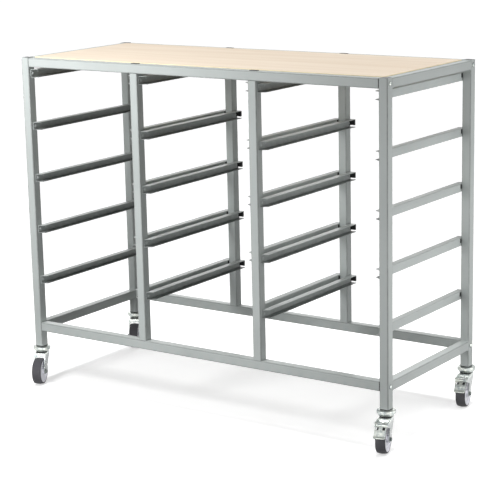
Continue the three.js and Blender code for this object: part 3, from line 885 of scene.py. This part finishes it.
class TRAYUNIT_OT_top_panel(bpy.types.Operator):
    """Wood-look board let into the top frame, with its plastic edge band"""

    bl_idname = "tray_unit.top_panel"
    bl_label = "Top panel"

    def execute(self, context):
        s = frame_sizes()
        low, high = node_box("top_panel")
        inset = np.array([s.band, s.band, 0])
        board = block(low + inset, high - inset, 2.5 * MM, 0.1 * MM)
        put("top_panel_board", [board], finish("wood_laminate"), "frame", ["top_panel"])
        size = (high - low) / 2
        middle = (low + high) / 2
        origin = (middle[0], middle[1], low[2])
        outer = rounded_profile(2 * size[2], 0.6 * MM)[1:-1]
        inner = [[s.band, 2 * size[2]], [s.band, 0]]
        band = prism(origin, ALONG_Z, size[0], size[1], 4 * MM, np.concatenate([outer, inner]), closed=True)
        put("top_panel_edge_band", [band], finish("edge_band"), "frame")
        return {"FINISHED"}


class TRAYUNIT_OT_caps(bpy.types.Operator):
    """Plastic caps on the corner posts and pads on the rails above the middle posts"""

    bl_idname = "tray_unit.caps"
    bl_label = "Caps and pads"

    def execute(self, context):
        s = frame_sizes()
        for side in SIDES:
            (x0, y0, _), (x1, y1, z1) = node_box(f"end_frame_{side}")
            over = z1 + 1.2 * MM
            under = over - s.cap
            for depth, y in (("front", y0), ("back", y1 - s.tube)):
                inside = s.wall + 0.05 * MM
                low, high = (x0 + inside, y + inside, under), (x1 - inside, y + s.tube - inside, over)
                lid = block(low, high, 1.2 * MM, 0.7 * MM)
                inside = s.wall + 0.2 * MM
                stem = block(
                    (x0 + inside, y + inside, under - 12 * MM),
                    (x1 - inside, y + s.tube - inside, under + 0.4 * MM),
                    1.2 * MM,
                    0.5 * MM,
                )
                put(f"post_cap_{depth}_{side}", [lid, stem], finish("cap_plastic"), "frame")
        pads = []
        for depth in DEPTHS:
            low, high = node_box(f"top_rail_{depth}")
            for side in SIDES:
                post_low, post_high = node_box(f"middle_post_{depth}_{side}")
                pads.append(
                    block(
                        (post_low[0] + 0.5 * MM, post_low[1] + 7 * MM, high[2] - 0.4 * MM),
                        (post_high[0] - 0.5 * MM, post_high[1] - 7 * MM, high[2] + 1.4 * MM),
                        2 * MM,
                        0.5 * MM,
                    )
                )
        put("rail_pads", pads, finish("black_plastic"), "frame")
        return {"FINISHED"}


class TRAYUNIT_OT_bolts(bpy.types.Operator):
    """Button-head bolts with dark washers, through the corner posts into the long rails"""

    bl_idname = "tray_unit.bolts"
    bl_label = "Frame bolts"

    def execute(self, context):
        s = frame_sizes()
        bolts, washers = [], []
        socket = 0.52 * s.bolt
        rise = 2.2 * MM
        turn = np.linspace(0, np.radians(68), 6)
        crown = np.stack([s.bolt * np.cos(turn), rise * np.sin(turn) / math.sin(turn[-1])], -1)
        seat = 0.8 * MM
        rim = 1.35 * s.bolt
        washer = [[rim, -0.3 * MM], [rim, seat - 0.2 * MM], [rim - 0.2 * MM, seat]]
        hollow = np.array([[socket, rise + seat], [socket, seat + 0.5 * MM]])
        profile = np.concatenate([[[s.bolt, seat - 0.1 * MM]], crown + [0, seat], hollow])
        hexed = np.zeros(len(profile))
        hexed[-2:] = 1
        for side, way in SIDES.items():
            (x0, y0, _), (x1, y1, _) = node_box(f"end_frame_{side}")
            face = x0 if way > 0 else x1
            basis = ALONG_X * [-way, 1, 1]
            for rail in ("top_rail_front", "bottom_rail_front"):
                z = node_box(rail)[1, 2] - s.tube / 2
                for y in (y0 + s.tube / 2, y1 - s.tube / 2):
                    bolts.append(turned(profile, 36, (face, y, z), basis, hexagon=hexed))
                    washers.append(turned(washer, 36, (face, y, z), basis))
        put("frame_bolts", bolts, finish("fork_zinc"), "frame")
        put("frame_washers", washers, finish("bolt_steel"), "frame")
        return {"FINISHED"}


# Castors: each is drawn in its own frame, axle along X, swivel axis at the origin, and then moved to its post.


class TRAYUNIT_OT_castor_stems(bpy.types.Operator):
    """Ball race rings under the posts with their king pins, a black disc in each ring's gap and a black collar on each
    ring, both painted shade
    """

    bl_idname = "tray_unit.castor_stems"
    bl_label = "Castor rings"

    def execute(self, context):
        c, s = castor_sizes(), frame_sizes()
        seal_top = CROWN_TOP + 3.2 * MM
        ring = filleted(
            [
                [0.4 * MM, seal_top],
                [c.neck, seal_top],
                [c.neck, POST_UNDER - 14.5 * MM],
                [c.ring, POST_UNDER - 10.5 * MM],
                [c.ring, POST_UNDER - 2.5 * MM],
                [c.ring - 5 * MM, POST_UNDER - c.collar],
                [0.4 * MM, POST_UNDER - c.collar],
            ],
            [1.2 * MM, 2.5 * MM, 2.5 * MM, 2.2 * MM, 3 * MM],
            6,
        )
        # a black disc in the real gap between the ring and the fork crown: painted shade in that gap
        gap_shade = filleted(
            [
                [0.4 * MM, CROWN_TOP + 0.5 * MM],
                [c.neck - 1.6 * MM, CROWN_TOP + 0.5 * MM],
                [c.neck - 1.6 * MM, seal_top + 0.3 * MM],
                [0.4 * MM, seal_top + 0.3 * MM],
            ],
            [0.8 * MM, 0.3 * MM],
        )
        head = CROWN_TOP - 3 * MM - 0.6 * MM
        pin = filleted(
            [
                [0.4 * MM, head - 2.5 * MM],
                [9 * MM, head - 2.5 * MM],
                [9 * MM, head],
                [6 * MM, head],
                [6 * MM, CROWN_TOP + 1 * MM],
                [0.4 * MM, CROWN_TOP + 1 * MM],
            ],
            [0.9 * MM, 0.3 * MM, 0.3 * MM, 0.3 * MM],
        )
        half = s.tube / 2 - s.wall - 0.3 * MM
        rim = s.tube / 2 - 0.1 * MM
        shade_plates = []
        for castor in CASTORS:
            name = f"castor_{castor}_stem"
            plug = block((-half, -half, POST_UNDER - 2 * MM), (half, half, POST_UNDER + 32 * MM), 1.2 * MM, 0.6 * MM)
            pieces = [turned(ring, c.sides), turned(pin, 36), plug]
            place = np.array([*JOINTS[f"{castor}_swivel"]["pos_m"][:2], 0.0])
            pieces = [(p + place, f, e) for p, f, e in pieces]
            put(f"castor_{castor}_ring", pieces, finish("zinc_plate"), "frame", [name])
            p, f, e = turned(gap_shade, 48)
            put(f"castor_{castor}_seal", [(p + place, f, e)], finish("black_plastic"), "frame")
            # black collar under the post: painted shade where the post meets the ring
            p, f, e = block((-rim, -rim, POST_UNDER - c.collar), (rim, rim, POST_UNDER - 0.05 * MM), 2.2 * MM, 0.3 * MM)
            shade_plates.append((p + place, f, e))
        put("post_shade_plates", shade_plates, finish("black_plastic"), "frame")
        return {"FINISHED"}


def leg_outside_shade(surface, plane, top, fade):
    """A fork's surface with its outside, past a plane on each side, marked for painted shade below a height, over a
    fade.
    """
    points, faces, _ = surface
    below = np.clip((top - points[:, 2]) / fade, 0, 1)
    return points, faces, np.where(np.abs(points[:, 0]) > plane, below, 0.0)


def fork_surfaces(c, braked):
    """A pressed fork: a U of two legs and a crown as one middle surface, a front apron and, if braked, two ears.

    Each leg is a patch between its top, its front and back edges and the round end at the axle; the crown is ruled
    from its straight front to its round back.
    """
    axle = np.array([-TRAIL, c.wheel])
    boss = 9 * MM
    inside = c.width / 2 + c.boss_reach + 0.3 * MM
    plane = inside + c.sheet / 2
    bend = 3.5 * MM
    crown_z = CROWN_TOP - c.sheet / 2
    leg_z = crown_z - bend
    front, back = -27 * MM, 9 * MM
    cols, leg_rows = 17, 22
    slope = (leg_z - CROWN_TOP) / (c.wheel + boss * math.sin(math.radians(170)) - CROWN_TOP)
    front_top = front + slope * (axle[0] + boss * math.cos(math.radians(170)) - front)
    top = even([[front_top, leg_z], [back, leg_z]], cols)
    bottom = arc(axle, boss, 225, 315, cols)
    fore = even(np.concatenate([[[front_top, leg_z]], arc(axle, boss, 170, 225, 12)]), leg_rows)
    aft = even(np.concatenate([[[back, leg_z], [back, CROWN_TOP - 11 * MM]], bottom[-1:]]), leg_rows)
    leg = patch(top, bottom, fore, aft)
    turn = np.linspace(0, np.pi / 2, 6)[1:]
    bend_x = plane - bend * (1 - np.cos(turn))
    bend_z = leg_z + bend * np.sin(turn)
    crown_x = np.linspace(plane - bend, -(plane - bend), 13)[1:-1]
    row_x = np.concatenate([bend_x, crown_x, -bend_x[::-1]])
    row_z = np.concatenate([bend_z, np.full(len(crown_x), crown_z), bend_z[::-1]])
    rounding = 2 * MM + np.sqrt(np.maximum((plane + c.sheet / 2) ** 2 - row_x**2, 0))
    row_back = np.maximum(rounding, back)
    row_front = front_top + (front - front_top) * np.clip((row_z - leg_z) / bend, 0, 1)
    u = np.linspace(0, 1, cols)
    saddle = np.stack(
        [
            np.broadcast_to(row_x[:, None], (len(row_x), cols)),
            row_front[:, None] + (row_back - row_front)[:, None] * u,
            np.broadcast_to(row_z[:, None], (len(row_x), cols)),
        ],
        -1,
    )
    right = np.concatenate([np.full(leg.shape[:2] + (1,), plane), leg], -1)[::-1]
    left = np.concatenate([np.full(leg.shape[:2] + (1,), -plane), leg], -1)
    surfaces = [leg_outside_shade(sheet_metal(np.concatenate([right, saddle, left]), c.sheet), plane, leg_z, bend)]
    half = c.sheet / 2
    pivot = arc(axle, c.wheel + c.pedal_gap + c.pedal / 2, PEDAL_TURNS[0], PEDAL_TURNS[0], 1)[0]
    under = crown_z - 0.2 * MM
    ahead = front + half
    foot = [ahead - 2.5 * MM if braked else ahead, 2 * c.wheel + 2 * MM]
    drop = filleted([[front + 6 * MM, under], [ahead, under], foot], [2.2 * MM], 6)
    across = np.linspace(-inside + 0.2 * MM, inside - 0.2 * MM, 9)
    apron = np.concatenate(
        [
            np.broadcast_to(across[:, None, None], (len(across), len(drop), 1)),
            np.broadcast_to(drop[None], (len(across), len(drop), 2)),
        ],
        -1,
    )
    surfaces.append(sheet_metal(apron, c.sheet))
    if braked:
        nose = arc(pivot, 6 * MM, 80, 260, 14)
        root = np.linspace([-24.5 * MM, CROWN_TOP - half], [-26 * MM, pivot[1] - 12 * MM], 14)
        upper = even([nose[0], root[0]], 9)
        lower = even([nose[-1], root[-1]], 9)
        ear = patch(upper, lower, nose, root)
        for x in (plane - 0.05 * MM, -plane + 0.05 * MM):
            plate = sheet_metal(np.concatenate([np.full(ear.shape[:2] + (1,), x), ear], -1), c.sheet)
            surfaces.append(leg_outside_shade(plate, plane, leg_z, bend))
    return surfaces


class TRAYUNIT_OT_castor_forks(bpy.types.Operator):
    """Pressed steel castor forks"""

    bl_idname = "tray_unit.castor_forks"
    bl_label = "Castor forks"

    def execute(self, context):
        c = castor_sizes()
        for castor in CASTORS:
            node_name = f"castor_{castor}_fork"
            surfaces = [moved(s, castor) for s in fork_surfaces(c, castor in BRAKED)]
            body = f"castor_{castor}_swivel"
            put(node_name + "_pressing", surfaces, finish("fork_zinc"), body, [node_name], 0.45 * MM)
        return {"FINISHED"}


class TRAYUNIT_OT_castor_axles(bpy.types.Operator):
    """Axle bolts with a hexagon head, a nut and washers"""

    bl_idname = "tray_unit.castor_axles"
    bl_label = "Castor axles"

    def execute(self, context):
        c = castor_sizes()
        seat = c.width / 2 + c.boss_reach + 0.3 * MM + c.sheet + 0.1 * MM
        corner = 4.9 * MM
        origin = (0, -TRAIL, c.wheel)
        shank = [[c.axle, -seat - 3 * MM], [c.axle, seat + 3.9 * MM]]
        washer = [[5.6 * MM, seat], [5.9 * MM, seat + 0.2 * MM], [5.9 * MM, seat + 0.8 * MM], [5.6 * MM, seat + 1.0 * MM]]
        head = [
            [corner, seat + 0.9 * MM],
            [corner, seat + 3.4 * MM],
            [0.93 * corner, seat + 3.9 * MM],
            [0.80 * corner, seat + 4.2 * MM],
        ]
        hexed = [1, 1, 0.6, 0]
        surfaces = [turned(shank, 24, origin, ALONG_X)]
        for basis in (ALONG_X, ALONG_X * [-1, 1, 1]):
            surfaces.append(turned(washer, 36, origin, basis))
            surfaces.append(turned(head, 36, origin, basis, hexagon=hexed))
        for castor in CASTORS:
            node_name = f"castor_{castor}_axle"
            pieces = [moved(s, castor) for s in surfaces]
            body = f"castor_{castor}_swivel"
            put(node_name + "_bolt", pieces, finish("bolt_steel"), body, [node_name])
        return {"FINISHED"}


class TRAYUNIT_OT_castor_wheels(bpy.types.Operator):
    """Wheels: a moulded hub and a crowned rubber tyre"""

    bl_idname = "tray_unit.castor_wheels"
    bl_label = "Castor wheels"

    def execute(self, context):
        c = castor_sizes()
        half = c.width / 2
        rim = c.wheel - c.tyre
        origin = (0, -TRAIL, c.wheel)
        side = [[rim + 0.2 * MM, half - 1.4 * MM], [rim + 1.2 * MM, half], [c.wheel - c.crown, half], [c.wheel, 0]]
        tread = filleted(side, [0.6 * MM, c.shoulder], 9)[:-1]
        across = np.linspace(tread[-1, 1], 0, 6)[1:]
        arch = c.wheel - (c.wheel - tread[-1, 0]) * (across / tread[-1, 1]) ** 2
        tread = np.concatenate([tread, np.stack([arch, across], -1)])
        tyre = np.concatenate([tread, tread[-2::-1] * [1, -1]])
        bore = c.axle + 0.3 * MM
        reach = half + c.boss_reach
        face = half - 3.4 * MM
        outside = filleted(
            [
                [rim, 0],
                [rim, half - 1.2 * MM],
                [rim + 1.1 * MM, half - 0.1 * MM],
                [rim - 1.8 * MM, half + 0.1 * MM],
                [rim - 3.6 * MM, face],
                [19 * MM, face],
                [17.5 * MM, face - 0.8 * MM],
                [c.boss + 1.2 * MM, face - 0.8 * MM],
                [c.boss, reach],
                [bore, reach],
                [bore, 0],
            ],
            [0.3 * MM, 0.3 * MM, 0.7 * MM, 0.9 * MM, 0.8 * MM, 0.8 * MM, 1.0 * MM, 0.7 * MM, 0.4 * MM],
            4,
        )
        hub = np.concatenate([outside, outside[-2:0:-1] * [1, -1]])
        tyre_surface = turned(tyre, c.sides, origin, ALONG_X, closed=True)
        hub_surface = turned(hub, c.sides, origin, ALONG_X, closed=True)
        for castor in CASTORS:
            node_name = f"castor_{castor}_wheel"
            body = f"castor_{castor}_roller"
            put(f"castor_{castor}_tyre", [moved(tyre_surface, castor)], finish("tyre_rubber"), body, [node_name])
            put(f"castor_{castor}_hub", [moved(hub_surface, castor)], finish("hub_plastic"), body)
        return {"FINISHED"}


class TRAYUNIT_OT_brake_pedals(bpy.types.Operator):
    """Foot brakes: a windowed, ribbed plate that follows the tread to a lip, on a barrel and pin"""

    bl_idname = "tray_unit.brake_pedals"
    bl_label = "Foot brakes"

    def execute(self, context):
        c = castor_sizes()
        pivot_turn, window_start, window_end, end = PEDAL_TURNS
        flare = 9
        axle = np.array([-TRAIL, c.wheel])
        middle = c.wheel + c.pedal_gap + c.pedal / 2
        pivot = arc(axle, middle, pivot_turn, pivot_turn, 1)[0]
        stations = np.concatenate(
            [
                np.linspace(pivot_turn, window_start, 6),
                np.linspace(window_start, window_end, 5)[1:],
                np.linspace(window_end, end - flare, 24)[1:],
            ]
        )
        rib = np.clip((stations - window_end - 2) / 2, 0, 1) * np.clip((end - flare - 1 - stations) / 2, 0, 1)
        lift = 0.4 * MM * rib * (1 - np.cos((stations - window_end - 2) * 2 * np.pi / 4.5)) / 2
        turn = np.radians(stations)
        run = axle + (middle + lift)[:, None] * np.stack([np.cos(turn), np.sin(turn)], -1)
        out = np.array([math.cos(math.radians(188)), math.sin(math.radians(188))])
        reach = 9 * MM
        tip = arc(axle, middle, end, end, 1)[0]
        lip = filleted([run[-1], tip, tip + out * reach], [9 * MM], 9)[1:]
        lip = np.concatenate([lip[:-1], np.linspace(lip[-2], lip[-1], 9)[1:]])
        line = np.concatenate([run, lip])
        half = c.width / 2 + c.boss_reach
        corner = 3.5 * MM
        past = np.clip((lip - tip) @ out - (reach - corner), 0, corner)
        narrowed = np.concatenate([np.zeros(len(run)), corner - np.sqrt(np.maximum(corner**2 - past**2, 0))])
        window_inner, window_outer = 4.8 * MM, 11.8 * MM
        inner = np.concatenate([np.linspace(window_inner, window_outer, 5), [1.6 * MM]])
        inner = np.sort(np.concatenate([-inner, inner]))
        ends = np.array([-1.0, -0.95, *np.zeros(len(inner)), 0.95, 1.0])
        fixed = np.array([0, 0, *inner, 0, 0])
        x = fixed + ends * (half - narrowed)[:, None]
        points = np.stack(
            [x, np.broadcast_to(line[:, :1], x.shape), np.broadcast_to(line[:, 1:], x.shape)], -1
        )
        mid_x = np.abs((x[:-1, :-1] + x[:-1, 1:]) / 2)
        mid_turn = np.concatenate([(stations[:-1] + stations[1:]) / 2, np.full(len(lip), end)])[:, None]
        in_width = (mid_x > window_inner) & (mid_x < window_outer)
        hole = in_width & (mid_turn > window_start) & (mid_turn < window_end)
        plate = sheet_metal(points, c.pedal, ~hole)
        outside = half + 0.3 * MM + c.sheet
        centre = (0, pivot[0], pivot[1])
        barrel = filleted(
            [[0.3 * MM, -half], [4 * MM, -half], [4 * MM, half], [0.3 * MM, half]], [0.5 * MM, 0.5 * MM]
        )
        pin = filleted(
            [[0.3 * MM, -outside], [2.5 * MM, -outside], [2.5 * MM, outside], [0.3 * MM, outside]], [0.6 * MM, 0.6 * MM]
        )
        surfaces = [plate, turned(barrel, 28, centre, ALONG_X), turned(pin, 24, centre, ALONG_X)]
        for castor in BRAKED:
            node_name = f"castor_{castor}_pedal"
            pieces = [moved(s, castor) for s in surfaces]
            body = f"castor_{castor}_brake"
            put(node_name + "_pressing", pieces, finish("pedal_zinc"), body, [node_name], 0.3 * MM)
        return {"FINISHED"}


# Stage


def area_light(name, place, aim, size, power, shines=True):
    """A soft square light at a place, turned to a point; the camera doesn't see it."""
    data = bpy.data.lights.new(name, "AREA")
    data.shape = "RECTANGLE"
    data.size, data.size_y = size
    data.energy = power
    lamp = bpy.data.objects.new(name, data)
    lamp.location = place
    lamp.rotation_euler = (Vector(aim) - Vector(place)).to_track_quat("-Z", "Y").to_euler()
    lamp.visible_camera = False
    lamp.visible_glossy = shines
    bpy.context.scene.collection.objects.link(lamp)


def sun_light(name, way, strength, angle):
    """An even light that shines one way; its angle in degrees softens the shadows."""
    data = bpy.data.lights.new(name, "SUN")
    data.energy = strength
    data.angle = math.radians(angle)
    lamp = bpy.data.objects.new(name, data)
    lamp.rotation_euler = Vector(way).to_track_quat("-Z", "Y").to_euler()
    lamp.visible_glossy = False
    bpy.context.scene.collection.objects.link(lamp)


def seen(tree):
    """1 for rays that show the background: from the camera, off metal and through glass."""
    path = tree.nodes.new("ShaderNodeLightPath").outputs
    straight = maths(tree, "MAXIMUM", path["Is Camera Ray"], path["Is Glossy Ray"])
    return maths(tree, "MAXIMUM", straight, path["Is Transmission Ray"])


class TRAYUNIT_OT_stage(bpy.types.Operator):
    """Pale floor, soft lights, white surroundings and the camera"""

    bl_idname = "tray_unit.stage"
    bl_label = "Stage"

    def execute(self, context):
        g = context.scene.tray_unit_stage
        context.scene.view_settings.view_transform = "Standard"
        side = np.linspace(-14, 14, 9)
        x, y = np.meshgrid(side, side, indexing="ij")
        points = np.stack([x, y, np.full(x.shape, -0.3 * MM)], -1)
        mesh = bpy.data.meshes.new("floor")
        mesh.from_pydata(points.reshape(-1, 3).tolist(), [], grid_quads(9, 9, False, False).tolist())
        floor = bpy.data.objects.new("floor", mesh)
        context.scene.collection.objects.link(floor)
        mesh.materials.append(self.floor_finish())
        self.surroundings(context.scene, g.sky)
        area_light("key_light", (-0.56, -1.1, 1.28), (-0.5, -0.2, 0.95), (0.5, 0.5), g.key, shines=False)
        area_light("front_light", (-0.45, -1.75, 0.6), (-0.1, 0.0, 0.6), (0.8, 0.6), g.front)
        area_light("low_light", (0.05, -1.28, 0.13), (0.0, 0.0, 0.18), (1.3, 0.25), g.low)
        area_light("side_light", (1.15, 0.02, 0.9), (0.5, 0.0, 0.6), (0.9, 0.6), g.side, shines=False)
        area_light("low_side_light", (1.0, 0.08, 0.3), (0.5, 0.08, 0.3), (0.8, 0.5), g.low_side)
        area_light("back_light", (-0.75, 1.05, 0.5), (-0.1, 0.1, 0.5), (1.5, 0.8), g.back)
        spot = bpy.data.lights.new("wheel_light", "SPOT")
        spot.energy = g.wheel
        spot.spot_size = math.radians(20)
        spot.shadow_soft_size = 0.06
        lamp = bpy.data.objects.new("wheel_light", spot)
        lamp.location = (0.12, -0.4, 0.075)
        wheel = Vector(JOINTS["front_left_wheel_spin"]["pos_m"])
        lamp.rotation_euler = (wheel - lamp.location).to_track_quat("-Z", "Y").to_euler()
        context.scene.collection.objects.link(lamp)
        sun_light("top_light", (0.0, 0.0, -1.0), g.top, 7)
        sun_light("rear_light", (0.25, -1.0, -0.06), g.rear, 20)
        sun_light("left_light", (1.0, -0.25, -0.06), g.left, 20)
        self.camera(context.scene, g)
        return {"FINISHED"}

    def floor_finish(self):
        """White floor: a plain white for the light, and for the camera the same white lifted, so only shadow shows."""
        material = bpy.data.materials.new("floor_white")
        material.use_nodes = True
        tree = material.node_tree
        tree.nodes.clear()
        plain = node(tree, "ShaderNodeBsdfDiffuse", {"Color": (0.05, 0.05, 0.05, 1)}).outputs[0]
        thin = node(tree, "ShaderNodeBsdfDiffuse", {"Color": (0.74, 0.74, 0.74, 1)}).outputs[0]
        glow = node(tree, "ShaderNodeEmission", {"Color": (1, 1, 1, 1), "Strength": 0.525}).outputs[0]
        lifted = node(tree, "ShaderNodeAddShader", {0: thin, 1: glow}).outputs[0]
        shown = node(tree, "ShaderNodeMixShader", {0: seen(tree), 1: plain, 2: lifted}).outputs[0]
        node(tree, "ShaderNodeOutputMaterial", {"Surface": shown})
        return material

    def surroundings(self, scene, level):
        """White surroundings for what is seen, and a lower even light for the rest."""
        world = bpy.data.worlds.new("white_room")
        world.use_nodes = True
        scene.world = world
        tree = world.node_tree
        tree.nodes.clear()
        white = (1, 1, 1, 1)
        light = node(tree, "ShaderNodeBackground", {"Color": white, "Strength": level}).outputs[0]
        shown = node(tree, "ShaderNodeBackground", {"Color": white, "Strength": 1.0}).outputs[0]
        mixed = node(tree, "ShaderNodeMixShader", {0: seen(tree), 1: light, 2: shown}).outputs[0]
        node(tree, "ShaderNodeOutputWorld", {"Surface": mixed})

    def camera(self, scene, g):
        """The camera at the photograph's viewing angle."""
        ahead = Vector(
            (-math.sin(g.yaw) * math.cos(g.pitch), math.cos(g.yaw) * math.cos(g.pitch), -math.sin(g.pitch))
        )
        level = Vector((math.cos(g.yaw), math.sin(g.yaw), 0))
        down = ahead.cross(level)
        right = math.cos(g.roll) * level + math.sin(g.roll) * down
        up = -(math.cos(g.roll) * down - math.sin(g.roll) * level)
        data = bpy.data.cameras.new("view")
        data.sensor_width = 36.0
        data.lens = g.lens
        eye = bpy.data.objects.new("view", data)
        scene.collection.objects.link(eye)
        eye.matrix_world = Matrix.Translation(g.eye) @ Matrix((right, up, -ahead)).transposed().to_4x4()
        scene.camera = eye


OPERATORS = (
    TRAYUNIT_OT_end_frames,
    TRAYUNIT_OT_rails,
    TRAYUNIT_OT_middle_posts,
    TRAYUNIT_OT_runners,
    TRAYUNIT_OT_runner_fittings,
    TRAYUNIT_OT_top_panel,
    TRAYUNIT_OT_caps,
    TRAYUNIT_OT_bolts,
    TRAYUNIT_OT_castor_stems,
    TRAYUNIT_OT_castor_forks,
    TRAYUNIT_OT_castor_axles,
    TRAYUNIT_OT_castor_wheels,
    TRAYUNIT_OT_brake_pedals,
    TRAYUNIT_OT_stage,
)


class TRAYUNIT_PT_panel(bpy.types.Panel):
    """Sizes, colours and building steps of the tray storage unit"""

    bl_label = "Tray storage unit"
    bl_idname = "TRAYUNIT_PT_panel"
    bl_space_type = "VIEW_3D"
    bl_region_type = "UI"
    bl_category = "Tray unit"

    def draw(self, context):
        for name in SETTINGS:
            group = getattr(context.scene, name)
            column = self.layout.column(heading=name.replace("_", " ").capitalize())
            for key in group.__annotations__:
                column.prop(group, key)
        for operator in OPERATORS:
            self.layout.operator(operator.bl_idname)


SETTINGS = {
    "tray_unit_frame": TrayUnitFrame,
    "tray_unit_castor": TrayUnitCastor,
    "tray_unit_finish": TrayUnitFinish,
    "tray_unit_stage": TrayUnitStage,
}
CLASSES = (*SETTINGS.values(), *OPERATORS, TRAYUNIT_PT_panel)


def register():
    """Registers the classes and puts the settings on the scene."""
    for cls in CLASSES:
        bpy.utils.register_class(cls)
    for name, cls in SETTINGS.items():
        setattr(bpy.types.Scene, name, PointerProperty(type=cls))


def unregister():
    """Takes the settings and the classes away again."""
    for name in SETTINGS:
        delattr(bpy.types.Scene, name)
    for cls in reversed(CLASSES):
        bpy.utils.unregister_class(cls)


def main():
    """Builds every piece and the stage."""
    register()
    for operator in OPERATORS:
        group, name = operator.bl_idname.split(".")
        getattr(getattr(bpy.ops, group), name)()


if __name__ == "__main__":
    main()
